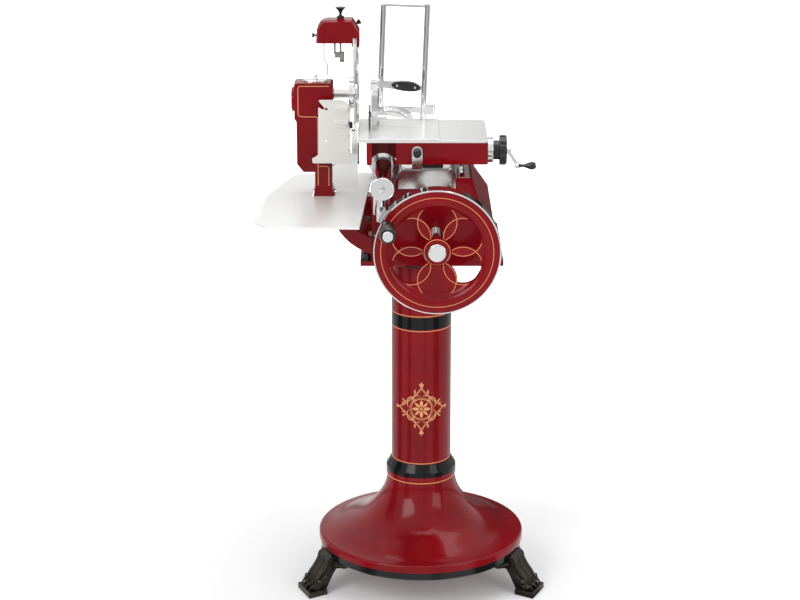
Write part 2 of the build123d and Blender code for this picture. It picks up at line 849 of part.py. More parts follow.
# ==================================================== arm, tray and drive housing
arm_bottom_z = 925.0
arm_half_width = 30.0
arm_left_x = foot_left_x - 4
with BuildPart() as blade_arm:
    with BuildSketch(facing_front(blade_y + arm_half_width)):
        with BuildLine():
            Polyline(
                (base_left_x, flywheel_z - 62),
                (base_left_x, tray_z),
                (arm_left_x, tray_z),
                (arm_left_x, arm_bottom_z + 14),
                (arm_left_x + 14, arm_bottom_z),
                (base_left_x - 46, arm_bottom_z - 2),
                close=True,
            )
        make_face()
    extrude(amount=2 * arm_half_width)
    fillet(blade_arm.edges().filter_by(Axis.X).group_by(Axis.Z)[0], 10)
    # bore for the cross shaft, with a bearing length next to the sprocket chamber
    with BuildSketch(across(base_left_x + 1, blade_y, flywheel_z)):
        Circle(cross_shaft_radius + 5)
    extrude(amount=-(base_left_x - foot_right_x + 6), mode=Mode.SUBTRACT)
    with BuildSketch(across(foot_right_x + 10, blade_y, flywheel_z)):
        Circle(cross_shaft_radius + running_gap)
    extrude(amount=-(foot_right_x + 10 - chain_x), mode=Mode.SUBTRACT)
    chamber = sprocket_radius + 6
    chamber_left_x = foot_left_x + housing_wall
    with BuildSketch(across(chamber_left_x, blade_y, flywheel_z)):
        SlotCenterPoint((0, 0), (0, 90), 2 * chamber)
    extrude(amount=chain_x + 5 - chamber_left_x, mode=Mode.SUBTRACT)
    # bracket that reaches forward and up to the front of the tray
    with BuildSketch(facing_front(-142)):
        with BuildLine():
            Line((base_left_x, 904), (base_left_x, 944))
            Spline(
                (base_left_x, 944),
                (base_left_x - 34, 962),
                (base_left_x - 70, tray_z),
            )
            Line((base_left_x - 70, tray_z), (base_left_x - 96, tray_z))
            Spline(
                (base_left_x - 96, tray_z),
                (base_left_x - 66, 946),
                (base_left_x, 904),
            )
        make_face()
    extrude(amount=16)
    with BuildSketch(facing_right(base_left_x - 8)):
        with BuildLine():
            Polyline(
                (-158, 906),
                (-158, 942),
                (base_front_y + 30, 946),
                (base_front_y + 30, 904),
                close=True,
            )
        make_face()
    extrude(amount=8)
save(blade_arm.part, "blade_arm")

with BuildPart() as tray:
    with BuildSketch(Plane.XY.offset(tray_z)) as tray_outline:
        with BuildLine():
            Polyline(
                (-124, 262),
                (-306, 250),
                (-330, 232),
                (-384, 20),
                (-392, -190),
            )
            ThreePointArc((-392, -190), (-384, -262), (-330, -286))
            Polyline((-330, -286), (-149, -291), (-142, -140), (-124, 262))
        make_face()
    extrude(amount=tray_thickness)
    fillet(tray.edges().filter_by(Axis.Z).group_by(Axis.X)[-1], 12)
    fillet(tray.edges().group_by(Axis.Z)[-1], 1.5)
    # clearance for the housing's foot
    foot_mid_x = (foot_left_x + foot_right_x) / 2
    with BuildSketch(Plane.XY.offset(tray_z - 1)):
        with Locations((foot_mid_x, blade_y)):
            Rectangle(foot_right_x - foot_left_x + 14, housing_depth + 14)
    extrude(amount=tray_thickness + 2, mode=Mode.SUBTRACT)
save(tray.part, "tray")


def housing_outline(inset):
    """Corners of head, trunk and foot from the front, smaller by inset for the hollow."""
    lower = tray_z if inset == 0 else tray_z - 1
    corners = [
        (head_left_x + inset, head_top_z - inset),
        (head_left_x + inset, head_bottom_z + inset),
        (head_left_x + 5 + inset, head_bottom_z - 8 + inset),
        (head_left_x + 5 + inset, trunk_bottom_z + 20),
        (head_left_x + 21 + inset, trunk_bottom_z + inset),
        (foot_left_x + inset, trunk_bottom_z + inset),
        (foot_left_x + inset, lower),
        (foot_right_x - inset, lower),
        (foot_right_x - inset, trunk_bottom_z + 23 - inset),
        (trunk_right_x - inset, trunk_bottom_z + 23 - inset),
        (trunk_right_x - inset, head_bottom_z + inset),
        (head_right_x - inset, head_bottom_z + inset),
        (head_right_x - inset, head_top_z - inset),
    ]
    return corners


with BuildPart() as drive_housing:
    with BuildSketch(facing_front(housing_front_y + housing_depth)):
        with BuildLine():
            Polyline(*housing_outline(0), close=True)
        make_face()
    extrude(amount=housing_depth)
    fillet(drive_housing.edges().filter_by(Axis.Y).group_by(Axis.Z)[-1], 7)
    fillet(drive_housing.edges().group_by(Axis.Y)[0], 2.5)
    fillet(drive_housing.edges().group_by(Axis.Y)[-1], 2.5)
    with BuildSketch(facing_front(housing_front_y + housing_depth - housing_wall)):
        with BuildLine():
            Polyline(*housing_outline(housing_wall), close=True)
        make_face()
    extrude(amount=housing_depth - 2 * housing_wall, mode=Mode.SUBTRACT)
    # flared foot that stands on the arm
    with BuildSketch(Plane.XY.offset(tray_z)):
        with Locations((foot_mid_x, blade_y)):
            Rectangle(foot_right_x - foot_left_x + 9, housing_depth + 9)
            Rectangle(
                foot_right_x - foot_left_x - 2 * housing_wall,
                housing_depth - 2 * housing_wall,
                mode=Mode.SUBTRACT,
            )
    extrude(amount=24, taper=9)
    # bosses for the two bushes of the blade shaft
    with BuildSketch(across(head_right_x - housing_wall, blade_y, blade_z)):
        Circle(19)
    extrude(amount=-8)
    with BuildSketch(across(head_left_x + housing_wall, blade_y, blade_z)):
        Circle(19)
    extrude(amount=22)
    with BuildSketch(across(head_left_x + housing_wall, blade_y, blade_z)):
        Circle(blade_shaft_radius + 5)
    extrude(amount=100, mode=Mode.SUBTRACT)
save(drive_housing.part, "drive_housing")

with BuildPart() as blade_bushes:
    for bush_x, length in ((head_left_x + housing_wall, 22), (head_right_x - 12, 14)):
        with BuildSketch(across(bush_x, blade_y, blade_z)):
            Circle(blade_shaft_radius + 5)
            Circle(blade_shaft_radius + running_gap, mode=Mode.SUBTRACT)
        extrude(amount=length)
save(blade_bushes.part, "blade_bushes")

lid_x = (head_left_x + head_right_x) / 2 + 4
with BuildPart() as housing_lid:
    with BuildSketch(Plane.XY.offset(head_top_z)):
        with Locations((lid_x, blade_y)):
            Ellipse(31, 18)
    extrude(amount=3.5)
    fillet(housing_lid.edges().group_by(Axis.Z)[-1], 2)
    with BuildSketch(Plane.XY.offset(head_top_z + 3.5)):
        with Locations((lid_x, blade_y)):
            Circle(6)
    extrude(amount=3, taper=30)
    with Locations((lid_x, blade_y, head_top_z + 12)):
        Sphere(4.5)
    with Locations((lid_x, blade_y, head_top_z + 3.5)):
        Cylinder(2, 8, align=(Align.CENTER, Align.CENTER, Align.MIN))
save(housing_lid.part, "housing_lid")

with BuildPart() as side_cover:
    with BuildSketch(across(head_left_x, blade_y, blade_z - 14)):
        Circle(30)
    extrude(amount=-7)
    fillet(side_cover.edges().group_by(Axis.X)[0], 4)
save(side_cover.part, "side_cover")

# ===================================================================== blade group
with BuildPart() as blade:
    half = blade_thickness / 2
    with BuildSketch(Plane.XZ.offset(-blade_y)):
        with BuildLine():
            Polyline(
                (blade_x - half, blade_z + blade_shaft_radius),
                (blade_x - half - 2, blade_z + blade_shaft_radius),
                (blade_x - half - 2, blade_z + 52),
                (blade_x - half, blade_z + 62),
                (blade_x - half, blade_z + blade_radius - 16),
                (blade_x + half - 0.5, blade_z + blade_radius),
                (blade_x + half, blade_z + blade_radius),
                (blade_x + half, blade_z + 62),
                (blade_x + half - 1, blade_z + 52),
                (blade_x + half - 1, blade_z + blade_shaft_radius),
                close=True,
            )
        make_face()
    revolve(axis=Axis((0, blade_y, blade_z), (1, 0, 0)))
save(blade.part, "blade")

with BuildPart() as blade_shaft:
    with BuildSketch(across(head_left_x + housing_wall + 2, blade_y, blade_z)):
        Circle(blade_shaft_radius)
    extrude(amount=blade_x + 4 - head_left_x - housing_wall - 2)
    # sleeve between housing and blade, and the nut plate on the meat side
    with BuildSketch(across(head_right_x + 2 + plate_gap, blade_y, blade_z)):
        Circle(blade_shaft_radius + 3)
    extrude(amount=blade_x - 16 - head_right_x - 2 - plate_gap)
    with BuildSketch(across(blade_x - 16, blade_y, blade_z)):
        Circle(40)
    extrude(amount=16 - blade_thickness / 2 - 2)
    with BuildSketch(across(blade_x + blade_thickness / 2 - 1, blade_y, blade_z)):
        Circle(26)
    extrude(amount=4)
    fillet(blade_shaft.edges().group_by(Axis.X)[-1], 1)
save(blade_shaft.part, "blade_shaft")

with BuildPart() as upper_sprocket:
    with BuildSketch(across(chain_x - sprocket_width / 2, blade_y, blade_z)):
        sprocket_sketch()
        Circle(blade_shaft_radius, mode=Mode.SUBTRACT)
    extrude(amount=sprocket_width)
save(upper_sprocket.part, "upper_sprocket")

# guard ring, open where the meat meets the edge, on its bracket
ring_left_x = blade_x - 8
with BuildPart() as guard_ring:
    with BuildSketch(across(ring_left_x, blade_y, blade_z)):
        Circle(ring_outer_radius)
        Circle(ring_inner_radius, mode=Mode.SUBTRACT)
        with BuildLine():
            Polyline((0, 0), (-29, 238), (-260, 240), (-260, -121), close=True)
        make_face(mode=Mode.SUBTRACT)
    extrude(amount=ring_width)
    with BuildSketch(facing_front(blade_y + 6)):
        with BuildLine():
            Polyline(
                (foot_right_x + 6, 1019),
                (foot_right_x, 1027),
                (foot_right_x, trunk_bottom_z + 10),
                (ring_left_x, blade_z - ring_outer_radius + 3),
                (ring_left_x + ring_width - 1, blade_z - ring_outer_radius + 3),
                (ring_left_x + ring_width - 1, 1019),
                close=True,
            )
        make_face()
    extrude(amount=12)
    with BuildSketch(across(ring_left_x - 60, blade_y, blade_z)):
        Circle(ring_inner_radius)
    extrude(amount=80, mode=Mode.SUBTRACT)
save(guard_ring.part, "guard_ring")

# slice deflector: a bent plate with a hook slot, two ribs and a hole
deflector_y = -4.0
deflector_sheet = 2.5
with BuildPart() as deflector_plate:
    with BuildSketch(facing_front(deflector_y)):
        with BuildLine():
            Polyline(
                (-252, 1248.5),
                (-248.5, 1251),
                (-202, 1251),
            )
            ThreePointArc((-202, 1251), (-184, 1245), (-174.5, 1228))
            Polyline(
                (-174.5, 1228),
                (-174.5, 1093),
                (-266, 1093),
                (-269, 1096),
                (-269, 1105),
                (-254, 1114),
                (-253, 1233),
                (-242, 1227),
                (-237, 1230),
                (-252, 1248.5),
            )
        make_face()
        with Locations((-235, 1148)):
            Circle(1.8, mode=Mode.SUBTRACT)
        with Locations((-233.5, 1228.5)):
            Circle(3.2, mode=Mode.SUBTRACT)
    extrude(amount=deflector_sheet)
    with BuildSketch(facing_front(deflector_y - deflector_sheet)):
        with Locations((-196, 1225)):
            RectangleRounded(28, 17, 3)
        with Locations((-198, 1191)):
            RectangleRounded(30, 21, 8)
    extrude(amount=1.6, taper=20)
save(deflector_plate.part, "deflector_plate")

with BuildPart() as deflector_fittings:
    for post_x, post_z in ((-228, 1216), (-256, 1101)):
        with BuildSketch(facing_front(housing_front_y)):
            with Locations((post_x, post_z)):
                Circle(4)
        extrude(amount=housing_front_y - deflector_y)
    with BuildSketch(facing_front(deflector_y - deflector_sheet)):
        with Locations((-180.5, 1163), (-180.5, 1125)):
            Circle(4.2)
    extrude(amount=2.4)
    with BuildSketch(facing_front(deflector_y - deflector_sheet)):
        with Locations((-178, 1190)):
            Circle(2.2)
    extrude(amount=6)
    with BuildSketch(facing_front(deflector_y - deflector_sheet - 5)):
        with Locations((-178, 1190)):
            Circle(8.5)
            Circle(3, mode=Mode.SUBTRACT)
    extrude(amount=5)
save(deflector_fittings.part, "deflector_fittings")

# ======================================================================= sharpener
slant_top_x = cap_right_x - 17.5
slant_low_z = cap_crest_z - 27.5


def draw_cap(inset):
    """Front view of the cover; its open underside is kept open in the hollow."""
    low = 0 if inset == 0 else -30
    left = cap_left_x + inset
    right = cap_right_x - inset
    crest = cap_crest_z - inset
    Polyline(
        (left + 37, crest - 1.5),
        (slant_top_x - inset * 0.3, crest),
        (right, slant_low_z - inset * 0.55),
        (right, cap_side_z + low),
        (right - 17 + 2 * inset, cap_side_z + low),
        (right - 19 + 2 * inset, cap_bottom_z + low),
        (left, cap_bottom_z + low),
        (left + 2, cap_crest_z - 27),
    )
    ThreePointArc(
        (left + 2, cap_crest_z - 27),
        (left + 12, crest - 8.5),
        (left + 37, crest - 1.5),
    )


with BuildPart() as sharpener_cap:
    with BuildSketch(facing_front(blade_y + cap_depth / 2)):
        with BuildLine():
            draw_cap(0)
        make_face()
    extrude(amount=cap_depth)
    front_top = sharpener_cap.edges().group_by(Axis.Y)[0].filter_by_position(
        Axis.Z, cap_crest_z - 30, cap_crest_z + 1
    )
    back_top = sharpener_cap.edges().group_by(Axis.Y)[-1].filter_by_position(
        Axis.Z, cap_crest_z - 30, cap_crest_z + 1
    )
    chamfer(front_top + back_top, 9, 4)
    with BuildSketch(facing_front(blade_y + cap_depth / 2 - cap_wall - 3)):
        with BuildLine():
            draw_cap(cap_wall)
        make_face()
    extrude(amount=cap_depth - 2 * cap_wall - 6, mode=Mode.SUBTRACT)
    # slots for the blade in both walls and for the ring in the rear wall
    with BuildSketch(across(blade_x - 5, blade_y, blade_z)):
        Circle(blade_radius + 2)
    extrude(amount=9, mode=Mode.SUBTRACT)
    with BuildSketch(across(ring_left_x - 0.5, blade_y, blade_z)):
        Circle(ring_outer_radius + 0.3)
        with Locations((-20, 0)):
            Rectangle(400, 400, align=(Align.MAX, Align.CENTER), mode=Mode.SUBTRACT)
    extrude(amount=ring_width + 1, mode=Mode.SUBTRACT)
    # hole for the push rod and for the stem of the honing knob
    with BuildSketch(across(cap_left_x - 1, blade_y, 1400)):
        Circle(push_rod_radius + running_gap)
    extrude(amount=cap_wall + 8, mode=Mode.SUBTRACT)
    slant_dir = Vector(27.5, 0, 17.5).normalized()
    slant_mid = Vector(cap_right_x - 8.75, blade_y, cap_crest_z - 13.75)
    slant_face = Plane(origin=slant_mid, x_dir=(0, 1, 0), z_dir=slant_dir)
    with BuildSketch(slant_face.offset(3)):
        Circle(2.5 + running_gap)
    extrude(amount=-14, mode=Mode.SUBTRACT)
    # boss under the lifting knob
    with BuildSketch(Plane.XY.offset(cap_crest_z - cap_wall - 1)):
        with Locations((-198.5, blade_y)):
            Circle(8.5)
            Circle(3 + running_gap, mode=Mode.SUBTRACT)
    extrude(amount=cap_wall + 3)
    with BuildSketch(Plane.XY.offset(cap_crest_z - 12)):
        with Locations((-198.5, blade_y)):
            Circle(3 + running_gap)
    extrude(amount=20, mode=Mode.SUBTRACT)
save(sharpener_cap.part, "sharpener_cap")

with BuildPart() as sharpener_frame:
    # saddle on the ring's crown
    with BuildSketch(facing_front(blade_y + 16)):
        with Locations((ring_left_x + ring_width / 2, 1398)):
            Rectangle(ring_width - 3, 14, align=(Align.CENTER, Align.MIN))
    extrude(amount=32)
    with BuildSketch(across(ring_left_x - 5, blade_y, blade_z)):
        Circle(ring_outer_radius)
    extrude(amount=ring_width + 10, mode=Mode.SUBTRACT)
    # plate that carries the cover and the stones
    with BuildSketch(facing_front(blade_y + cap_depth / 2 - cap_wall - 3)):
        with Locations((cap_left_x + cap_wall + 5, 1410)):
            Rectangle(
                ring_left_x + ring_width - 1.5 - cap_left_x - cap_wall - 5,
                4,
                align=(Align.MIN, Align.MIN),
            )
    extrude(amount=cap_depth - 2 * cap_wall - 6)
    # bent wire hoop that hangs beside the stone
    with BuildLine():
        hoop = FilletPolyline(
            (-240, blade_y + 12, 1413),
            (-240, blade_y + 12, 1338),
            (-232, blade_y + 12, 1326),
            (-232, blade_y + 12, 1300),
            radius=5,
        )
    with BuildSketch(Plane(origin=hoop @ 0, z_dir=hoop % 0)):
        Circle(1.3)
    sweep()
save(sharpener_frame.part, "sharpener_frame")

with BuildPart() as cap_knob:
    with BuildSketch(Plane.XZ.offset(-blade_y)):
        with BuildLine():
            knob_base = cap_crest_z + 2 + working_gap
            Polyline(
                (-198.5, knob_base - 8),
                (-195.5, knob_base - 8),
                (-195.5, knob_base),
                (-189, knob_base),
                (-189, knob_base + 2),
            )
            Spline(
                (-189, knob_base + 2),
                (-195.2, knob_base + 8),
                (-193, knob_base + 15),
                (-186, knob_base + 23),
            )
            Polyline(
                (-186, knob_base + 23),
                (-186, knob_base + 24.5),
                (-198.5, knob_base + 25.5),
                (-198.5, knob_base - 8),
            )
        make_face()
    revolve(axis=Axis((-198.5, blade_y, 0), (0, 0, 1)))
save(cap_knob.part, "cap_knob")

with BuildPart() as honing_knob:
    with BuildSketch(slant_face.offset(-5)):
        Circle(2.5)
    extrude(amount=9)
    with BuildSketch(slant_face.offset(3.6)):
        Circle(4.5)
    extrude(amount=9, taper=-16)
    fillet(honing_knob.edges().sort_by(SortBy.LENGTH)[-1], 1)
save(honing_knob.part, "honing_knob")

with BuildPart() as push_knob:
    with BuildSketch(across(cap_left_x - 5, blade_y, 1400)):
        Circle(5)
    extrude(amount=-5, taper=-14)
    fillet(push_knob.edges().group_by(Axis.X)[0], 1)
save(push_knob.part, "push_knob")

with BuildPart() as grinding_stone:
    with BuildSketch(across(cap_left_x - 5, blade_y, 1400)):
        Circle(push_rod_radius)
    extrude(amount=cap_wall + 41)
    with BuildSketch(facing_front(blade_y + 12)):
        with Locations((-205, 1400)):
            RectangleRounded(26, 14, 3)
    extrude(amount=24)
    for arm_x in (-213, -199):
        with BuildSketch(Plane.XY.offset(1396)):
            with Locations((arm_x, blade_y)):
                Circle(2.4)
        extrude(amount=-42)
    with BuildSketch(across(-213, blade_y, 1352)):
        Circle(7)
    extrude(amount=12)
    with BuildSketch(across(-201, blade_y, 1347)):
        Circle(13)
    extrude(amount=11)
    chamfer(grinding_stone.edges().group_by(Axis.X)[-1], 1)
save(grinding_stone.part, "grinding_stone")

# ======================================================================== carriage
table_top_z = table_z + table_thickness
cavity_left_x = beam_left_x + beam_wall
cavity_right_x = table_right_x - beam_wall

with BuildPart() as carriage_beam:
    with BuildSketch(facing_front(beam_back_y)):
        with BuildLine():
            Polyline(
                (beam_left_x, table_z),
                (beam_left_x, beam_bottom_z),
                (table_right_x, beam_bottom_z),
                (table_right_x, table_z),
                close=True,
            )
        make_face()
    extrude(amount=beam_back_y - table_front_y)
    with BuildSketch(Plane.XY.offset(table_z + 1)):
        with Locations(
            (
                (cavity_left_x + cavity_right_x) / 2,
                (table_front_y + beam_back_y) / 2,
            )
        ):
            Rectangle(
                cavity_right_x - cavity_left_x,
                beam_back_y - table_front_y - 2 * beam_wall,
            )
    extrude(amount=-(table_z + 1 - beam_bottom_z - beam_wall), mode=Mode.SUBTRACT)
    # left lobe, and the rear web that arches over the rail
    with BuildSketch(facing_front(beam_back_y)):
        with Locations((lobe_left_x, table_z)):
            Rectangle(lobe_width, 40, align=(Align.MIN, Align.MAX))
        with Locations((lobe_left_x + lobe_width / 2, table_z - 49)):
            Circle(lobe_width / 2)
            Rectangle(lobe_width, 20, align=(Align.CENTER, Align.MIN))
    extrude(amount=beam_back_y - table_front_y)
    with BuildSketch(facing_front(beam_back_y)):
        with Locations((lobe_left_x, table_z)):
            Rectangle(
                beam_left_x - lobe_left_x, table_z - beam_bottom_z, align=(Align.MIN, Align.MAX)
            )
    extrude(amount=9)
    with BuildSketch(facing_front(beam_back_y + 1)):
        with Locations((rail_x, rail_z)):
            Circle(rail_radius + 7)
    extrude(amount=12, mode=Mode.SUBTRACT)
    # bores for the feed screw and the lock plunger
    with BuildSketch(across(beam_left_x - 1, screw_y, screw_z)):
        Circle(screw_neck_radius - 1 + running_gap)
    extrude(amount=beam_wall + 2, mode=Mode.SUBTRACT)
    with BuildSketch(across(table_right_x + 1, screw_y, screw_z)):
        Circle(screw_neck_radius + running_gap)
    extrude(amount=-beam_wall - 2, mode=Mode.SUBTRACT)
    with BuildSketch(facing_front(table_front_y + beam_wall + 1)):
        with Locations((-12.5, 1148)):
            Circle(3 + running_gap)
    extrude(amount=beam_wall + 2, mode=Mode.SUBTRACT)
save(carriage_beam.part, "carriage_beam")

slot_left_x = nut_x - 10.5
slot_right_x = nut_x + feed_travel + 10.5
with BuildPart() as carriage_table:
    with BuildSketch(Plane.XY.offset(table_z)):
        with Locations((table_left_x, table_front_y)):
            Rectangle(
                table_right_x - table_left_x,
                table_back_y - table_front_y,
                align=(Align.MIN, Align.MIN),
            )
    extrude(amount=table_thickness)
    fillet(carriage_table.edges().filter_by(Axis.Z).group_by(Axis.X)[-1], 10)
    with BuildSketch(Plane.XY.offset(table_z - 1)):
        with Locations(((slot_left_x + slot_right_x) / 2, screw_y)):
            Rectangle(slot_right_x - slot_left_x, 20)
    extrude(amount=table_thickness + 2, mode=Mode.SUBTRACT)
    fillet(carriage_table.edges().filter_by(Axis.X).group_by(Axis.Z)[-1], 0.8)
save(carriage_table.part, "carriage_table")

roller_z = side_rail_top_z + roller_radius + working_gap
roller_width = side_rail_width - 2
with BuildPart() as carriage_bearings:
    with BuildSketch(facing_front(sleeve_front_y + sleeve_length)):
        with Locations((rail_x, rail_z)):
            Circle(sleeve_radius)
            Rectangle(46, table_z - rail_z, align=(Align.CENTER, Align.MIN))
            Circle(rail_radius + running_gap, mode=Mode.SUBTRACT)
    extrude(amount=sleeve_length)
    # fork and axle of the right hand roller
    cheek = 3.5
    cheek_gap = roller_width / 2 + plate_gap
    for way in (-1, 1):
        cheek_x = side_rail_x + way * cheek_gap - (cheek if way < 0 else 0)
        with BuildSketch(facing_right(cheek_x)):
            with Locations((roller_y, (roller_z + table_z) / 2 + 3)):
                Rectangle(22, table_z - roller_z - 6)
            with Locations((roller_y, roller_z)):
                Circle(7)
                Rectangle(14, 9, align=(Align.CENTER, Align.MIN))
        extrude(amount=cheek)
    with BuildSketch(Plane.XY.offset(table_z - 6)):
        with Locations((side_rail_x, roller_y)):
            Rectangle(2 * (cheek_gap + cheek) + 16, 30)
    extrude(amount=6)
    with BuildSketch(across(side_rail_x - cheek_gap - cheek, roller_y, roller_z)):
        Circle(3)
    extrude(amount=2 * (cheek_gap + cheek))
save(carriage_bearings.part, "carriage_bearings")

with BuildPart() as carriage_roller:
    with BuildSketch(across(side_rail_x - roller_width / 2, roller_y, roller_z)):
        Circle(roller_radius)
        Circle(3 + running_gap, mode=Mode.SUBTRACT)
    extrude(amount=roller_width)
save(carriage_roller.part, "carriage_roller")

with BuildPart() as end_collar:
    with BuildSketch(across(table_right_x, screw_y, screw_z)):
        Circle(collar_face_radius)
        Circle(screw_neck_radius + running_gap, mode=Mode.SUBTRACT)
    extrude(amount=collar_face_width)
    fillet(end_collar.edges().group_by(Axis.X)[-1].sort_by(SortBy.LENGTH)[-1], 2)
save(end_collar.part, "end_collar")

bracket_x = -12.5
with BuildPart() as lock_bracket:
    with BuildSketch(facing_front(table_front_y)):
        with Locations((bracket_x, 1152)):
            Circle(12.5)
            Rectangle(25, 44, align=(Align.CENTER, Align.MAX))
        with Locations((bracket_x, 1148)):
            Circle(3 + running_gap, mode=Mode.SUBTRACT)
    extrude(amount=3)
    with BuildSketch(Plane.XY.offset(1108)):
        with Locations((bracket_x, table_front_y)):
            Rectangle(25, 14, align=(Align.CENTER, Align.MIN))
    extrude(amount=3)
save(lock_bracket.part, "lock_bracket")

with BuildPart() as lock_knob:
    with BuildSketch(facing_front(table_front_y - 3 - 4.5)):
        with Locations((bracket_x, 1148)):
            Circle(10.2)
    extrude(amount=9)
    fillet(lock_knob.edges().group_by(Axis.Y)[0], 4)
    with BuildSketch(facing_front(table_front_y + 3)):
        with Locations((bracket_x, 1148)):
            Circle(3)
    extrude(amount=11)
save(lock_knob.part, "lock_knob")

with BuildPart() as carriage_stop:
    # dark finger that hangs from the table's corner, with a ball at its tip
    with BuildSketch(Plane.XY.offset(table_z)):
        with Locations((table_left_x + 1.4, table_front_y + 6)):
            Circle(1.5)
    extrude(amount=-50)
    with Locations((table_left_x + 1.4, table_front_y + 6, table_z - 50)):
        Sphere(2.8)
    # ribbed rod under the beam
    with BuildSketch(across(bracket_x + 12.5, table_front_y + 8, beam_bottom_z - 6)):
        Circle(4)
    extrude(amount=50)
    for rib in range(8):
        with BuildSketch(
            across(bracket_x + 16 + 5.6 * rib, table_front_y + 8, beam_bottom_z - 6)
        ):
            Circle(6)
        extrude(amount=3.4)
save(carriage_stop.part, "carriage_stop")

# ------------------------------------------------------- feed screw and its crank
collar_out_x = table_right_x + collar_face_width
hub_width = 14.7
lobe_thickness = 17.0
knob_out_x = collar_out_x + working_gap + hub_width + lobe_thickness
screw_end_x = knob_out_x + 8

with BuildPart() as lead_screw:
    with BuildSketch(across(beam_left_x + 0.5, screw_y, screw_z)):
        Circle(screw_neck_radius - 1)
    extrude(amount=beam_wall)
    with BuildSketch(across(cavity_left_x + plate_gap, screw_y, screw_z)):
        Circle(screw_radius)
    extrude(amount=cavity_right_x - cavity_left_x - 2 * plate_gap)
    with BuildSketch(across(cavity_right_x - plate_gap - 1, screw_y, screw_z)):
        Circle(screw_neck_radius)
    extrude(amount=screw_end_x - cavity_right_x + plate_gap + 1)
save(lead_screw.part, "lead_screw")

with BuildPart() as thickness_knob:
    with BuildSketch(across(collar_out_x + working_gap, screw_y, screw_z)):
        Circle(23)
    extrude(amount=hub_width)
    with BuildSketch(
        across(collar_out_x + working_gap + hub_width, screw_y, screw_z)
    ):
        Circle(knob_radius)
        with PolarLocations(knob_radius + 5, knob_lobes):
            Circle(8.5, mode=Mode.SUBTRACT)
    extrude(amount=lobe_thickness)
    chamfer(thickness_knob.faces().sort_by(Axis.X)[-1].edges(), 2.5)
    with BuildSketch(across(collar_out_x, screw_y, screw_z)):
        Circle(screw_neck_radius + running_gap)
    extrude(amount=60, mode=Mode.SUBTRACT)
save(thickness_knob.part, "thickness_knob")

crank_hub_x = knob_out_x + plate_gap
crank_pin_x = crank_hub_x + 4 + crank_reach
crank_pin_z = screw_z - crank_throw
with BuildPart() as feed_crank:
    with BuildSketch(across(crank_hub_x, screw_y, screw_z)):
        Circle(9)
        Circle(screw_neck_radius, mode=Mode.SUBTRACT)
    extrude(amount=screw_end_x - crank_hub_x)
    with BuildSketch(across(screw_end_x, screw_y, screw_z)):
        Circle(9)
    extrude(amount=3)
    with BuildSketch(facing_front(screw_y + 3.5)):
        with BuildLine():
            Polyline(
                (crank_hub_x + 1.5, screw_z - 6.5),
                (crank_hub_x + 10, screw_z - 6.5),
                (crank_pin_x + 4, crank_pin_z + 5),
                (crank_pin_x + 4, crank_pin_z - 5),
                (crank_pin_x - 5, crank_pin_z - 5),
                (crank_pin_x - 5, crank_pin_z + 3),
                close=True,
            )
        make_face()
    extrude(amount=7)
    with BuildSketch(across(crank_pin_x - 5, screw_y, crank_pin_z)):
        Circle(6)
    extrude(amount=9)
    with BuildSketch(across(crank_pin_x + 4, screw_y, crank_pin_z)):
        Circle(3)
    extrude(amount=feed_grip_length + 2 * plate_gap)
    with BuildSketch(
        across(crank_pin_x + 4 + feed_grip_length + 2 * plate_gap, screw_y, crank_pin_z)
    ):
        Circle(5)
    extrude(amount=1.6)
save(feed_crank.part, "feed_crank")

with BuildPart() as crank_grip:
    grip_start = crank_pin_x + 4 + plate_gap
    with BuildSketch(Plane.XZ.offset(-screw_y)):
        with BuildLine():
            Spline(
                (grip_start, crank_pin_z + 6.2),
                (grip_start + feed_grip_length * 0.45, crank_pin_z + 5.6),
                (grip_start + feed_grip_length * 0.78, crank_pin_z + feed_grip_radius),
                (grip_start + feed_grip_length, crank_pin_z + 6.4),
            )
            Polyline(
                (grip_start + feed_grip_length, crank_pin_z + 6.4),
                (grip_start + feed_grip_length, crank_pin_z + 3 + running_gap),
                (grip_start, crank_pin_z + 3 + running_gap),
                (grip_start, crank_pin_z + 6.2),
            )
        make_face()
    revolve(axis=Axis((0, screw_y, crank_pin_z), (1, 0, 0)))
save(crank_grip.part, "crank_grip")

# ============================================================= meat plate and press
plate_z = table_top_z + plate_lift
plate_top_z = plate_z + meat_plate_thickness
with BuildPart() as meat_plate:
    with BuildSketch(Plane.XY.offset(plate_z)):
        with Locations((table_left_x, table_front_y + 2)):
            Rectangle(
                meat_plate_right_x - table_left_x,
                table_back_y - table_front_y - 4,
                align=(Align.MIN, Align.MIN),
            )
    extrude(amount=meat_plate_thickness)
    fillet(meat_plate.edges().group_by(Axis.Z)[-1], 0.8)
    # seats that take the feet of the rods, so the top face is free round them
    with BuildSketch(Plane.XY.offset(plate_top_z)):
        with Locations((rod_left_x, rod_y), (rod_right_x, rod_y)):
            Circle(rod_radius + rod_foot_width + 0.05)
    extrude(amount=-rod_seat_depth, mode=Mode.SUBTRACT)
    # nut that hangs through the slot on to the screw
    with BuildSketch(Plane.XY.offset(plate_z)):
        with Locations((nut_x, screw_y)):
            Rectangle(18, 17)
    extrude(amount=-(plate_z - screw_z + 12))
    with BuildSketch(across(nut_x - 15, screw_y, screw_z)):
        Circle(screw_radius + running_gap)
    extrude(amount=30, mode=Mode.SUBTRACT)
save(meat_plate.part, "meat_plate")

# the rods lean a little to the right, and the press slides along that direction
lean = Vector(sin(radians(rod_lean)), 0, cos(radians(rod_lean)))


def leaning(x, y, height):
    """Plane square to the rods, height above the meat plate, centred on (x, y)."""
    return Plane(
        origin=Vector(x, y, plate_top_z) + lean * height,
        x_dir=(cos(radians(rod_lean)), 0, -sin(radians(rod_lean))),
        z_dir=lean,
    )


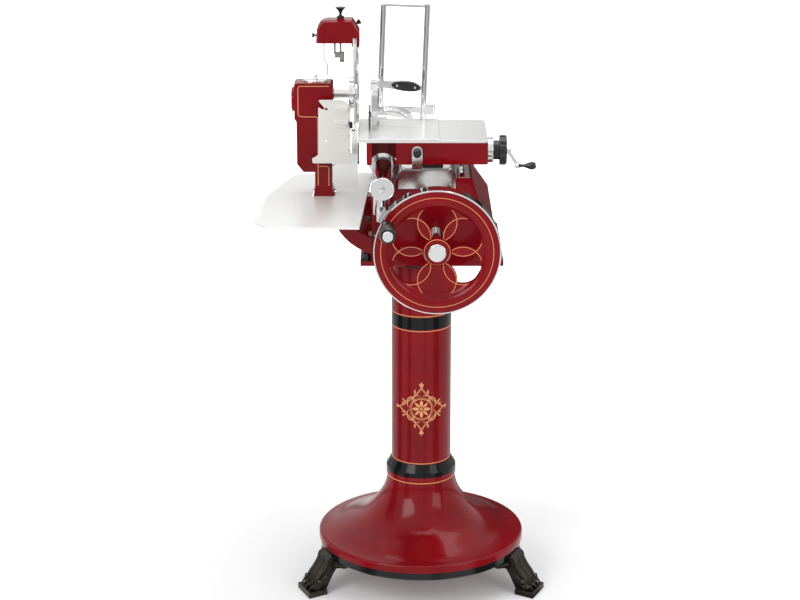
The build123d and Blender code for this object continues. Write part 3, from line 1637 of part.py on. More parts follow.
rod_xs = (rod_left_x, rod_right_x)
with BuildPart() as press_rods:
    for rod_x in rod_xs:
        with BuildSketch(leaning(rod_x, rod_y, 0.4)):
            Circle(rod_radius)
        extrude(amount=rod_length)
        with BuildSketch(Plane.XY.offset(plate_top_z - rod_seat_depth)):
            with Locations((rod_x, rod_y)):
                Circle(rod_radius + rod_foot_width)
        extrude(amount=rod_seat_depth + 3)
    with BuildSketch(leaning((rod_left_x + rod_right_x) / 2, rod_y, rod_length - 5)):
        Rectangle(rod_right_x - rod_left_x, 5)
    extrude(amount=5)
save(press_rods.part, "press_rods")

press_height = press_z - plate_top_z
clamp_height = 20.0
press_mid_x = (rod_left_x + rod_right_x) / 2
tooth_plate_x = -130.0
press_arm_y = 14.0
arm_right_x = -108.0
lever_y = press_arm_y + 6
lever_z = plate_top_z + 20
lever_pin_radius = 4.0
lever_hub_length = 20.0
with BuildPart() as press_crosshead:
    # clamp blocks round the rods, joined by a slotted bar
    for rod_x, reach in ((rod_left_x, -2), (rod_right_x, 12)):
        with BuildSketch(leaning(rod_x, rod_y, press_height)):
            with Locations((reach, 0)):
                RectangleRounded(34, 26, 6)
        extrude(amount=clamp_height)
    with BuildSketch(leaning(press_mid_x, rod_y, press_height + 4)):
        Rectangle(rod_right_x - rod_left_x, 14)
        Rectangle(rod_right_x - rod_left_x - 44, 6, mode=Mode.SUBTRACT)
    extrude(amount=12)
    # arm that comes forward from the left block and rises to the handle
    with BuildSketch(facing_right(-124)):
        with BuildLine():
            Polyline(
                (rod_y - 10, plate_top_z + press_height + 2),
                (rod_y - 10, plate_top_z + press_height + clamp_height - 2),
                (press_arm_y + 34, plate_top_z + 78),
            )
            Spline(
                (press_arm_y + 34, plate_top_z + 78),
                (press_arm_y + 17, plate_top_z + 112),
                (press_arm_y, plate_top_z + 126),
                (press_arm_y - 16, plate_top_z + 108),
                tangents=((-0.2, 1), (0.1, -1)),
            )
            Spline(
                (press_arm_y - 16, plate_top_z + 108),
                (press_arm_y - 7, plate_top_z + 88),
                (press_arm_y - 8, plate_top_z + 44),
                (press_arm_y - 2, plate_top_z + 14),
            )
            Polyline(
                (press_arm_y - 2, plate_top_z + 14),
                (press_arm_y + 16, plate_top_z + 12),
                (rod_y - 10, plate_top_z + press_height + 2),
            )
        make_face()
    extrude(amount=16)
    # round eye of the scroll
    with BuildSketch(facing_right(-126)):
        with Locations((press_arm_y, plate_top_z + 108)):
            Circle(15)
    extrude(amount=20)
    # handle bar that carries the grip scales
    with BuildSketch(facing_front(press_arm_y + 5)):
        with BuildLine():
            Spline(
                (-112, plate_top_z + 119),
                (-74, plate_top_z + 113),
                (-40, plate_top_z + 113),
                (0, plate_top_z + 97),
            )
            Line((0, plate_top_z + 97), (0, plate_top_z + 93))
            Spline(
                (0, plate_top_z + 93),
                (-30, plate_top_z + 88),
                (-70, plate_top_z + 94),
                (-112, plate_top_z + 97),
            )
            Line((-112, plate_top_z + 97), (-112, plate_top_z + 119))
        make_face()
    extrude(amount=9)
    for rod_x in rod_xs:
        with BuildSketch(leaning(rod_x, rod_y, 0)):
            Circle(rod_radius + running_gap)
        extrude(amount=rod_length, mode=Mode.SUBTRACT)
    # pin on which the clamp lever turns, with its washer
    with BuildSketch(across(arm_right_x, lever_y, lever_z)):
        Circle(lever_pin_radius)
    extrude(amount=lever_hub_length + 2 * plate_gap)
    with BuildSketch(
        across(arm_right_x + lever_hub_length + 2 * plate_gap, lever_y, lever_z)
    ):
        Circle(lever_pin_radius + 2.5)
    extrude(amount=2)
save(press_crosshead.part, "press_crosshead")

with BuildPart() as handle_scales:
    for scale_y in (press_arm_y - 4, press_arm_y + 9):
        with BuildSketch(facing_front(scale_y)):
            with Locations((-39, plate_top_z + 101)):
                Ellipse(36, 12, rotation=-7)
        extrude(amount=4)
    fillet(handle_scales.edges().group_by(Axis.Y)[0], 2.5)
    fillet(handle_scales.edges().group_by(Axis.Y)[-1], 2.5)
save(handle_scales.part, "handle_scales")

with BuildPart() as toothed_plate:
    with BuildSketch(facing_right(tooth_plate_x)):
        with BuildLine():
            teeth = [(38, plate_top_z + 50), (-38, plate_top_z + 50)]
            tooth_pitch = 76 / 10
            for k in range(10):
                teeth.append((-38 + k * tooth_pitch, plate_top_z + 12))
                teeth.append((-38 + (k + 0.5) * tooth_pitch, plate_top_z + 4))
            teeth.append((38, plate_top_z + 12))
            Polyline(*teeth, close=True)
        make_face()
    extrude(amount=4)
    with BuildSketch(facing_right(tooth_plate_x + 4)):
        with Locations((press_arm_y, plate_top_z + 30)):
            Circle(7)
    extrude(amount=2)
save(toothed_plate.part, "toothed_plate")

lever_start_x = arm_right_x + plate_gap
with BuildPart() as clamp_lever:
    with BuildSketch(across(lever_start_x, lever_y, lever_z)):
        Circle(lever_pin_radius + 4.5)
    extrude(amount=lever_hub_length)
    # wing with a hooked tip
    with BuildSketch(facing_front(lever_y + 2.5)):
        with BuildLine():
            Spline(
                (lever_start_x + 2, lever_z + 6),
                (-84, lever_z + 21),
                (-62, lever_z + 26),
                (-34, lever_z + 17),
                (-21, lever_z + 2),
            )
            Polyline((-21, lever_z + 2), (-27, lever_z - 7), (-31, lever_z - 7))
            Line((-31, lever_z - 7), (-33, lever_z - 2))
            Spline(
                (-33, lever_z - 2),
                (-56, lever_z + 2),
                (-80, lever_z + 6.5),
                (lever_start_x + lever_hub_length + 4, lever_z + 7.4),
            )
            Polyline(
                (lever_start_x + lever_hub_length + 4, lever_z + 7.4),
                (lever_start_x + 2, lever_z + 6),
            )
        make_face()
    extrude(amount=5)
    with BuildSketch(across(arm_right_x, lever_y, lever_z)):
        Circle(lever_pin_radius + running_gap)
    extrude(amount=lever_hub_length + 10, mode=Mode.SUBTRACT)
save(clamp_lever.part, "clamp_lever")
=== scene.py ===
import math

import bmesh
import bpy
from mathutils import Matrix, Vector


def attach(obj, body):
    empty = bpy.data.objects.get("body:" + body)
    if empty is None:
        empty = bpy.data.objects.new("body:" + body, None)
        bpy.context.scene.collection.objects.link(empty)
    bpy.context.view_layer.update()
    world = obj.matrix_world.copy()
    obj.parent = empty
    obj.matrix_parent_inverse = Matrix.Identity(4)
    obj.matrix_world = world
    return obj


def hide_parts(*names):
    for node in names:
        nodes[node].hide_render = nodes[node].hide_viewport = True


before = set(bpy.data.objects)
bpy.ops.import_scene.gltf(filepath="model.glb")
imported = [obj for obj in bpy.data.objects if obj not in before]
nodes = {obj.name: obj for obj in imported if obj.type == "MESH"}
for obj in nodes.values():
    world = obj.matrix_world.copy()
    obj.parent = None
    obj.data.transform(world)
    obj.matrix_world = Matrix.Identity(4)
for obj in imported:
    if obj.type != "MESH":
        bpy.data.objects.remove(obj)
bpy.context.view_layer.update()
print("frame loaded:", len(nodes), "nodes")


# small helpers for node trees

def place(tree, kind, **settings):
    node = tree.nodes.new(kind)
    for key, value in settings.items():
        setattr(node, key, value)
    return node


def feed(tree, socket, value):
    # a socket gets either a link or a plain value
    if isinstance(value, bpy.types.NodeSocket):
        tree.links.new(value, socket)
    elif value is not None:
        socket.default_value = value


def calc(tree, operation, *values, clamp=False):
    node = place(tree, "ShaderNodeMath", operation=operation, use_clamp=clamp)
    for index, value in enumerate(values):
        feed(tree, node.inputs[index], value)
    return node.outputs[0]


def vectorCalc(tree, operation, *values):
    node = place(tree, "ShaderNodeVectorMath", operation=operation)
    for index, value in enumerate(values):
        feed(tree, node.inputs[index], value)
    return node.outputs["Value"] if operation in ("DISTANCE", "LENGTH", "DOT_PRODUCT") else node.outputs[0]


def mixColor(tree, factor, first, second):
    node = place(tree, "ShaderNodeMix", data_type="RGBA")
    feed(tree, node.inputs[0], factor)
    feed(tree, node.inputs[6], first)
    feed(tree, node.inputs[7], second)
    return node.outputs[2]


def mixValue(tree, factor, first, second):
    node = place(tree, "ShaderNodeMix", data_type="FLOAT")
    feed(tree, node.inputs[0], factor)
    feed(tree, node.inputs[2], first)
    feed(tree, node.inputs[3], second)
    return node.outputs[0]


def noise(tree, vector, scale, detail=2.0, roughness=0.5, distortion=0.0):
    node = place(tree, "ShaderNodeTexNoise")
    feed(tree, node.inputs["Vector"], vector)
    feed(tree, node.inputs["Scale"], scale)
    feed(tree, node.inputs["Detail"], detail)
    feed(tree, node.inputs["Roughness"], roughness)
    feed(tree, node.inputs["Distortion"], distortion)
    return node.outputs["Fac"]


def remap(tree, value, low, high, newLow, newHigh):
    node = place(tree, "ShaderNodeMapRange")
    for index, entry in enumerate((value, low, high, newLow, newHigh)):
        feed(tree, node.inputs[index], entry)
    return node.outputs[0]


def split(tree, coords):
    parts = place(tree, "ShaderNodeSeparateXYZ")
    feed(tree, parts.inputs[0], coords)
    return parts.outputs


def newGroup(name, inputs, outputs):
    # inputs give a number, a vector or None for a vector that is always linked; outputs are numbers
    group = bpy.data.node_groups.new(name, "ShaderNodeTree")
    for label, start in inputs.items():
        kind = "NodeSocketFloat" if isinstance(start, float) else "NodeSocketVector"
        socket = group.interface.new_socket(name=label, in_out="INPUT", socket_type=kind)
        if start is not None:
            socket.default_value = start
    for label in outputs:
        group.interface.new_socket(name=label, in_out="OUTPUT", socket_type="NodeSocketFloat")
    entry = group.nodes.new("NodeGroupInput")
    leave = group.nodes.new("NodeGroupOutput")
    return group, entry.outputs, leave.inputs


def useGroup(tree, group, **values):
    node = place(tree, "ShaderNodeGroup", node_tree=group)
    for label, value in values.items():
        feed(tree, node.inputs[label], value)
    return node.outputs


# shared surface effects

def buildEnamelSkin():
    # slow tone drift, orange peel and a few dull patches
    group, given, out = newGroup("enamelSkin", {"Vector": None, "Peel": 420.0}, ["Tone", "Dull", "Height"])
    slow = noise(group, given["Vector"], 7.0, 3.0, 0.55)
    feed(group, out["Tone"], remap(group, slow, 0.3, 0.7, 0.0, 1.0))
    patch = noise(group, given["Vector"], 23.0, 4.0, 0.6, 0.4)
    feed(group, out["Dull"], remap(group, patch, 0.45, 0.75, 0.0, 1.0))
    peel = noise(group, given["Vector"], given["Peel"], 1.0, 0.4)
    feed(group, out["Height"], peel)
    return group


def buildHandling():
    # smudges and hairline scratches of polished metal
    inputs = {"Vector": None, "Smear": 18.0, "Hairline": 60.0}
    group, given, out = newGroup("handling", inputs, ["Smudge", "Scratch"])
    smear = noise(group, given["Vector"], given["Smear"], 5.0, 0.62, 0.8)
    feed(group, out["Smudge"], remap(group, smear, 0.42, 0.72, 0.0, 1.0))
    stretched = vectorCalc(group, "MULTIPLY", given["Vector"], (1.0, 14.0, 14.0))
    fine = noise(group, stretched, given["Hairline"], 3.0, 0.7)
    crossed = vectorCalc(group, "MULTIPLY", given["Vector"], (16.0, 1.0, 9.0))
    second = noise(group, crossed, given["Hairline"], 2.0, 0.7)
    both = calc(group, "MAXIMUM", fine, second)
    feed(group, out["Scratch"], remap(group, both, 0.62, 0.74, 0.0, 1.0))
    return group


def buildBrushed():
    # parallel grain; Stretch is long across the grain and short along it
    inputs = {"Vector": None, "Stretch": (4.0, 900.0, 900.0)}
    group, given, out = newGroup("brushedGrain", inputs, ["Grain", "Tone"])
    stretched = vectorCalc(group, "MULTIPLY", given["Vector"], given["Stretch"])
    feed(group, out["Grain"], noise(group, stretched, 1.0, 4.0, 0.65))
    feed(group, out["Tone"], noise(group, given["Vector"], 11.0, 3.0, 0.6))
    return group


def buildStripe():
    # painted line of a given width at a given value
    group, given, out = newGroup("paintedLine", {"Value": 0.0, "Centre": 0.0, "Half Width": 0.001}, ["Mask"])
    away = calc(group, "ABSOLUTE", calc(group, "SUBTRACT", given["Value"], given["Centre"]))
    soft = calc(group, "MULTIPLY", given["Half Width"], 1.25)
    feed(group, out["Mask"], remap(group, away, given["Half Width"], soft, 1.0, 0.0))
    return group


def buildPanels():
    # bright studio panels round the object with dark gaps between them
    group, given, out = newGroup("studioPanels", {"Vector": None, "Front": 0.6, "Back": 0.92}, ["Level"])
    x, y, _ = split(group, given["Vector"])
    azimuth = calc(group, "ARCTAN2", y, x)
    wide = calc(group, "SINE", calc(group, "MULTIPLY_ADD", azimuth, 3.0, 0.7))
    narrow = calc(group, "SINE", calc(group, "MULTIPLY_ADD", azimuth, 7.0, 2.0))
    wave = calc(group, "MULTIPLY", calc(group, "ADD", wide, narrow), 0.5)
    opened = remap(group, wave, -0.50, -0.22, 0.08, 1.0)
    heading = split(group, vectorCalc(group, "NORMALIZE", given["Vector"]))
    behind = remap(group, heading[1], -0.2, 0.4, 0.0, 1.0)
    level = mixValue(group, behind, given["Front"], given["Back"])
    feed(group, out["Level"], calc(group, "MULTIPLY", opened, level))
    return group


enamelSkin = buildEnamelSkin()
studioPanels = buildPanels()
handling = buildHandling()
brushedGrain = buildBrushed()
paintedLine = buildStripe()
print("shader groups ready")


# finishes

finishes = {
    "red": (0.245, 0.003, 0.0075, 1),
    "redDeep": (0.160, 0.002, 0.005, 1),
    "black": (0.006, 0.006, 0.007, 1),
    "blackDeep": (0.004, 0.004, 0.005, 1),
    "gold": (0.66, 0.25, 0.10, 1),
    "goldLight": (0.74, 0.30, 0.13, 1),
    "leaf": (0.64, 0.27, 0.10, 1),
    "leafLight": (0.76, 0.36, 0.15, 1),
    "bronze": (0.013, 0.010, 0.008, 1),
    "bronzeEdge": (0.07, 0.058, 0.042, 1),
    "chrome": (0.87, 0.87, 0.875, 1),
    "steel": (0.80, 0.80, 0.78, 1),
    "darkSteel": (0.36, 0.36, 0.37, 1),
    "bushing": (0.56, 0.36, 0.16, 1),
    "tooth": (0.13, 0.13, 0.135, 1),
    "satin": (0.84, 0.845, 0.83, 1),
    "plastic": (0.010, 0.010, 0.011, 1),
    "pale": (0.78, 0.77, 0.73, 1),
    "paleShade": (0.70, 0.69, 0.65, 1),
    "stone": (0.20, 0.19, 0.18, 1),
    "stoneLight": (0.36, 0.35, 0.33, 1),
}


def newMaterial(name):
    material = bpy.data.materials.new(name)
    material.use_nodes = True
    tree = material.node_tree
    shader = tree.nodes["Principled BSDF"]
    coords = place(tree, "ShaderNodeTexCoord").outputs["Object"]
    return material, tree, shader, coords


def addBump(tree, shader, height, strength, distance):
    bump = place(tree, "ShaderNodeBump")
    bump.inputs["Strength"].default_value = strength
    bump.inputs["Distance"].default_value = distance
    feed(tree, bump.inputs["Height"], height)
    tree.links.new(bump.outputs[0], shader.inputs["Normal"])


def enamel(name, lightTone, darkTone, gold=None, black=None, red=None, coat=0.16):
    # gloss enamel; gold, black and red are masks made by functions of (tree, coords)
    material, tree, shader, coords = newMaterial(name)
    skin = useGroup(tree, enamelSkin, Vector=coords)
    color = mixColor(tree, skin["Tone"], darkTone, lightTone)
    rough = mixValue(tree, skin["Dull"], 0.16, 0.24)
    if black:
        mask = black(tree, coords)
        color = mixColor(tree, mask, color, finishes["black"])
        rough = mixValue(tree, mask, rough, 0.10)
    if red:
        color = mixColor(tree, red(tree, coords), color, finishes["red"])
    if gold:
        mask = gold(tree, coords)
        fleck = noise(tree, coords, 700.0, 2.0)
        leaf = mixColor(tree, fleck, finishes["goldLight"], finishes["gold"])
        color = mixColor(tree, mask, color, leaf)
        rough = mixValue(tree, mask, rough, 0.34)
    feed(tree, shader.inputs["Base Color"], color)
    feed(tree, shader.inputs["Roughness"], rough)
    shader.inputs["Specular IOR Level"].default_value = 0.14
    shader.inputs["Coat Weight"].default_value = coat
    shader.inputs["Coat Roughness"].default_value = 0.04
    addBump(tree, shader, skin["Height"], 0.12, 0.0002)
    return material


def plated(name, tone, low, high, bump=0.05):
    # chrome or polished sheet with smudges and hairlines
    material, tree, shader, coords = newMaterial(name)
    worn = useGroup(tree, handling, Vector=coords)
    shade = mixColor(tree, worn["Smudge"], tone, tuple(c * 0.93 for c in tone[:3]) + (1,))
    feed(tree, shader.inputs["Base Color"], shade)
    rough = mixValue(tree, worn["Smudge"], low, high)
    dulled = calc(tree, "MULTIPLY", worn["Scratch"], 0.06)
    feed(tree, shader.inputs["Roughness"], calc(tree, "ADD", rough, dulled))
    shader.inputs["Metallic"].default_value = 1.0
    addBump(tree, shader, worn["Scratch"], bump, 0.0001)
    return material


def brushed(name, tone, stretch, low, high, strength=0.10, metal=1.0):
    material, tree, shader, coords = newMaterial(name)
    grain = useGroup(tree, brushedGrain, Vector=coords, Stretch=stretch)
    shade = mixColor(tree, grain["Tone"], tuple(c * 0.94 for c in tone[:3]) + (1,), tone)
    feed(tree, shader.inputs["Base Color"], shade)
    feed(tree, shader.inputs["Roughness"], mixValue(tree, grain["Grain"], low, high))
    shader.inputs["Metallic"].default_value = metal
    addBump(tree, shader, grain["Grain"], strength, 0.0001)
    return material


def moulded(name, tone, rough=0.22):
    material, tree, shader, coords = newMaterial(name)
    skin = useGroup(tree, enamelSkin, Vector=coords, Peel=900.0)
    shade = mixColor(tree, skin["Tone"], tone, tuple(c * 1.6 for c in tone[:3]) + (1,))
    feed(tree, shader.inputs["Base Color"], shade)
    feed(tree, shader.inputs["Roughness"], mixValue(tree, skin["Dull"], rough, rough + 0.12))
    addBump(tree, shader, skin["Height"], 0.08, 0.0001)
    return material


def castBronze(name):
    material, tree, shader, coords = newMaterial(name)
    skin = useGroup(tree, enamelSkin, Vector=coords, Peel=260.0)
    edge = place(tree, "ShaderNodeNewGeometry").outputs["Pointiness"]
    raised = remap(tree, edge, 0.50, 0.56, 0.0, 1.0)
    shade = mixColor(tree, raised, finishes["bronze"], finishes["bronzeEdge"])
    feed(tree, shader.inputs["Base Color"], mixColor(tree, skin["Tone"], shade, finishes["bronze"]))
    feed(tree, shader.inputs["Roughness"], mixValue(tree, skin["Dull"], 0.32, 0.48))
    shader.inputs["Metallic"].default_value = 0.55
    addBump(tree, shader, skin["Height"], 0.25, 0.0006)
    return material


def abrasive(name):
    material, tree, shader, coords = newMaterial(name)
    grit = place(tree, "ShaderNodeTexVoronoi")
    feed(tree, grit.inputs["Vector"], coords)
    grit.inputs["Scale"].default_value = 1400.0
    shade = mixColor(tree, grit.outputs["Distance"], finishes["stone"], finishes["stoneLight"])
    feed(tree, shader.inputs["Base Color"], shade)
    shader.inputs["Roughness"].default_value = 0.85
    addBump(tree, shader, grit.outputs["Distance"], 0.5, 0.0004)
    return material


# painted lines, in metres, as functions of the object's own coordinates

columnPaint = {"lines": (0.7185, 0.6805, 0.3290), "half": 0.0011, "band": (0.6845, 0.7145)}


def lineAt(tree, value, centre, half):
    return useGroup(tree, paintedLine, **{"Value": value, "Centre": centre, "Half Width": half})["Mask"]


def columnGold(tree, coords):
    height = split(tree, coords)[2]
    total = 0.0
    for level in columnPaint["lines"]:
        total = calc(tree, "MAXIMUM", lineAt(tree, height, level, columnPaint["half"]), total)
    return total


def columnBlack(tree, coords):
    low, high = columnPaint["band"]
    return lineAt(tree, split(tree, coords)[2], (low + high) / 2, (high - low) / 2.1)


skirtPaint = {"line": 0.2795, "half": 0.0012}


def skirtGold(tree, coords):
    return lineAt(tree, split(tree, coords)[2], skirtPaint["line"], skirtPaint["half"])


collarPaint = {"split": 0.2945}


def collarRed(tree, coords):
    # the foot of the collar is painted like the base below it
    return calc(tree, "LESS_THAN", split(tree, coords)[2], collarPaint["split"])


wheelPaint = {
    "centre": (0.033, 0.0, 0.955), "rings": (0.132, 0.0305), "half": 0.0007,
    "petals": 6, "petalRadius": 0.0458, "petalDistance": 0.070,
    "inner": 0.034, "outer": 0.106, "frontFace": -0.312,
}


def wheelGold(tree, coords):
    # two rings and six arcs between them, on the front face only
    parts = split(tree, coords)
    half = wheelPaint["half"]
    flat = place(tree, "ShaderNodeCombineXYZ")
    tree.links.new(parts[0], flat.inputs[0])
    tree.links.new(parts[2], flat.inputs[2])
    centre = Vector(wheelPaint["centre"])
    radius = vectorCalc(tree, "DISTANCE", flat.outputs[0], tuple(centre))
    petals = 0.0
    for petal in range(wheelPaint["petals"]):
        angle = math.radians(30 + 60 * petal)
        spot = centre + Vector((math.cos(angle), 0, math.sin(angle))) * wheelPaint["petalDistance"]
        away = vectorCalc(tree, "DISTANCE", flat.outputs[0], tuple(spot))
        petals = calc(tree, "MAXIMUM", lineAt(tree, away, wheelPaint["petalRadius"], half), petals)
    pastHub = calc(tree, "GREATER_THAN", radius, wheelPaint["inner"])
    insideRim = calc(tree, "LESS_THAN", radius, wheelPaint["outer"])
    total = calc(tree, "MULTIPLY", petals, calc(tree, "MULTIPLY", pastHub, insideRim))
    for ring in wheelPaint["rings"]:
        total = calc(tree, "MAXIMUM", total, lineAt(tree, radius, ring, half))
    front = calc(tree, "LESS_THAN", parts[1], wheelPaint["frontFace"])
    return calc(tree, "MULTIPLY", total, front)


fittingPaint = {"split": 1.1750}


def fittings(name):
    # black thumb nut above, small bright screws below
    material, tree, shader, coords = newMaterial(name)
    low = calc(tree, "LESS_THAN", split(tree, coords)[2], fittingPaint["split"])
    skin = useGroup(tree, enamelSkin, Vector=coords, Peel=900.0)
    feed(tree, shader.inputs["Base Color"], mixColor(tree, low, finishes["plastic"], finishes["steel"]))
    feed(tree, shader.inputs["Metallic"], low)
    feed(tree, shader.inputs["Roughness"], mixValue(tree, skin["Dull"], 0.2, 0.3))
    addBump(tree, shader, skin["Height"], 0.08, 0.0001)
    return material


def goldLeaf(name):
    material, tree, shader, coords = newMaterial(name)
    skin = useGroup(tree, enamelSkin, Vector=coords, Peel=700.0)
    shade = mixColor(tree, skin["Tone"], finishes["leaf"], finishes["leafLight"])
    feed(tree, shader.inputs["Base Color"], shade)
    feed(tree, shader.inputs["Roughness"], mixValue(tree, skin["Dull"], 0.34, 0.46))
    shader.inputs["Coat Weight"].default_value = 0.3
    addBump(tree, shader, skin["Height"], 0.10, 0.0001)
    return material


reds = (finishes["red"], finishes["redDeep"])
acrossX = (5.0, 700.0, 700.0)
materials = {
    "redEnamel": enamel("redEnamel", *reds),
    "columnEnamel": enamel("columnEnamel", *reds, gold=columnGold, black=columnBlack),
    "skirtEnamel": enamel("skirtEnamel", *reds, gold=skirtGold),
    "wheelEnamel": enamel("wheelEnamel", *reds, gold=wheelGold),
    "goldLeaf": goldLeaf("goldLeaf"),
    "fittings": fittings("fittings"),
    "blackEnamel": enamel("blackEnamel", finishes["black"], finishes["blackDeep"], coat=0.5),
    "collarEnamel": enamel("collarEnamel", finishes["black"], finishes["black"], red=collarRed),
    "chrome": plated("chrome", finishes["chrome"], 0.05, 0.12),
    "polishedSteel": plated("polishedSteel", finishes["steel"], 0.12, 0.22, 0.08),
    "sheetSteel": brushed("sheetSteel", finishes["satin"], acrossX, 0.24, 0.29, 0.03, metal=0.55),
    "traySteel": brushed("traySteel", finishes["satin"], (6.0, 500.0, 500.0), 0.30, 0.42, 0.06, metal=0.35),
    "toothSteel": brushed("toothSteel", finishes["tooth"], (200.0, 200.0, 30.0), 0.30, 0.45, 0.2),
    "bladeSteel": plated("bladeSteel", finishes["steel"], 0.08, 0.16, 0.06),
    "driveSteel": brushed("driveSteel", finishes["darkSteel"], (300.0, 30.0, 300.0), 0.28, 0.45, 0.2),
    "bushBronze": brushed("bushBronze", finishes["bushing"], (400.0, 60.0, 400.0), 0.25, 0.40, 0.2),
    "blackPlastic": moulded("blackPlastic", finishes["plastic"]),
    "paleEnamel": enamel("paleEnamel", finishes["pale"], finishes["paleShade"], coat=0.4),
    "castBronze": castBronze("castBronze"),
    "abrasive": abrasive("abrasive"),
}

nodeFinish = {
    "columnEnamel": ["stand_column"],
    "skirtEnamel": ["stand_base"],
    "wheelEnamel": ["flywheel"],
    "fittings": ["deflector_fittings"],
    "redEnamel": [
        "drive_housing", "machine_base", "blade_arm", "side_cover", "sharpener_cap", "carriage_beam",
    ],
    "blackEnamel": ["base_ring", "stand_top_plate", "carriage_stop"],
    "collarEnamel": ["stand_collar"],
    "castBronze": ["paw_feet"],
    "chrome": [
        "rail_tube", "rail_caps", "rail_post", "side_rail", "guard_ring", "sharpener_frame",
        "flywheel_rim", "hub_cap", "main_shaft", "handle_pin", "blade_shaft", "carriage_bearings",
        "feed_crank", "press_rods", "press_crosshead", "clamp_lever",
    ],
    "traySteel": ["tray"],
    "polishedSteel": ["housing_lid", "end_collar", "lock_bracket", "top_cover"],
    "sheetSteel": ["carriage_table", "meat_plate"],
    "bladeSteel": ["blade"],
    "toothSteel": ["toothed_plate"],
    "driveSteel": [
        "drive_chain", "bevel_gear", "bevel_pinion", "cross_shaft", "upper_sprocket", "carriage_roller",
        "lead_screw",
    ],
    "bushBronze": ["shaft_bushes", "blade_bushes"],
    "blackPlastic": [
        "base_knobs", "flywheel_grip", "cap_knob", "honing_knob", "push_knob", "lock_knob",
        "crank_grip", "thickness_knob", "handle_scales",
    ],
    "paleEnamel": ["deflector_plate"],
    "abrasive": ["grinding_stone"],
}
for finish, names in nodeFinish.items():
    for name in names:
        mesh = nodes[name].data
        mesh.materials.clear()
        mesh.materials.append(materials[finish])
print("finishes on the frame:", sum(len(n) for n in nodeFinish.values()))


# mesh helpers; a shape is a pair of vertices and faces

def revolve(profile, sides=40):
    # (radius, height) pairs about +Z, closed where they meet the axis
    verts, faces, rings = [], [], []
    for radius, height in profile:
        start = len(verts)
        if radius < 1e-7:
            verts.append(Vector((0, 0, height)))
            rings.append([start])
            continue
        for step in range(sides):
            angle = 2 * math.pi * step / sides
            verts.append(Vector((radius * math.cos(angle), radius * math.sin(angle), height)))
        rings.append(list(range(start, start + sides)))
    for first, second in zip(rings, rings[1:]):
        for step in range(sides):
            after = (step + 1) % sides
            if len(first) == 1 and len(second) > 1:
                faces.append((first[0], second[step], second[after]))
            elif len(second) == 1 and len(first) > 1:
                faces.append((first[step], first[after], second[0]))
            elif len(first) > 1:
                faces.append((first[step], first[after], second[after], second[step]))
    return verts, faces


def sweep(points, radii, sides=12):
    # tube of varying radius along a line, with pointed ends
    points = [Vector(point) for point in points]
    tangents = []
    for index in range(len(points)):
        ahead = points[min(index + 1, len(points) - 1)]
        behind = points[max(index - 1, 0)]
        tangents.append((ahead - behind).normalized())
    normal = tangents[0].orthogonal().normalized()
    verts, faces = [points[0] - tangents[0] * radii[0] * 0.5], []
    for point, radius, tangent in zip(points, radii, tangents):
        normal = (normal - tangent * normal.dot(tangent)).normalized()
        binormal = tangent.cross(normal)
        for step in range(sides):
            angle = 2 * math.pi * step / sides
            verts.append(point + (normal * math.cos(angle) + binormal * math.sin(angle)) * radius)
    verts.append(points[-1] + tangents[-1] * radii[-1] * 0.5)
    last = len(verts) - 1
    for ring in range(len(points)):
        base = 1 + ring * sides
        for step in range(sides):
            after = (step + 1) % sides
            if ring == 0:
                faces.append((0, base + after, base + step))
            if ring == len(points) - 1:
                faces.append((last, base + step, base + after))
            else:
                faces.append((base + step, base + after, base + sides + after, base + sides + step))
    return verts, faces


def flattened(shape, middle, share):
    # the shape pressed towards the plane Y = middle
    return [Vector((v.x, middle + (v.y - middle) * share, v.z)) for v in shape[0]], shape[1]


def tapered(count, start, end):
    return [start + (end - start) * index / (count - 1) for index in range(count)]


def smoothLine(points, steps=8):
    # Catmull-Rom line through the given points
    points = [Vector(point) for point in points]
    last = len(points) - 1
    line = []
    for index in range(last):
        a, b = points[max(index - 1, 0)], points[index]
        c, d = points[index + 1], points[min(index + 2, last)]
        for step in range(steps):
            t = step / steps
            square = (2 * a - 5 * b + 4 * c - d) * t * t
            cube = (3 * b - a - 3 * c + d) * t ** 3
            line.append(0.5 * (2 * b + (c - a) * t + square + cube))
    line.append(points[-1])
    return line


def roundCorners(points, radius, steps=5):
    # open line whose inner corners are rounded
    points = [Vector(point) for point in points]
    line = [points[0]]
    for before, corner, after in zip(points, points[1:], points[2:]):
        inward = (before - corner).normalized() * min(radius, (before - corner).length / 2)
        outward = (after - corner).normalized() * min(radius, (after - corner).length / 2)
        for step in range(steps + 1):
            t = step / steps
            line.append(corner + inward * (1 - t) ** 2 + outward * t ** 2)
    line.append(points[-1])
    return line


def circleLine(radius, steps):
    angles = [2 * math.pi * step / steps for step in range(steps)]
    return [Vector((math.cos(angle), math.sin(angle))) * radius for angle in angles]


def ribbon(path, widths, wrap, closed=False, lift=0.0003, sink=0.0003):
    # flat painted line laid on a surface; wrap(across, up, lift) gives the place in space
    path = [Vector(point).to_2d() for point in path]
    count = len(path)
    verts, faces = [], []
    for index, point in enumerate(path):
        if closed:
            along = path[(index + 1) % count] - path[index - 1]
        else:
            along = path[min(index + 1, count - 1)] - path[max(index - 1, 0)]
        side = Vector((-along.y, along.x)).normalized() * widths[index] / 2
        for offset, height in ((side, -sink), (side, lift), (-side, lift), (-side, -sink)):
            spot = point + offset
            verts.append(Vector(wrap(spot.x, spot.y, height)))
    for index in range(count if closed else count - 1):
        here, there = 4 * index, 4 * ((index + 1) % count)
        for step in range(4):
            after = (step + 1) % 4
            faces.append((here + step, here + after, there + after, there + step))
    if not closed:
        faces.append((3, 2, 1, 0))
        end = 4 * (count - 1)
        faces.append((end, end + 1, end + 2, end + 3))
    return verts, faces


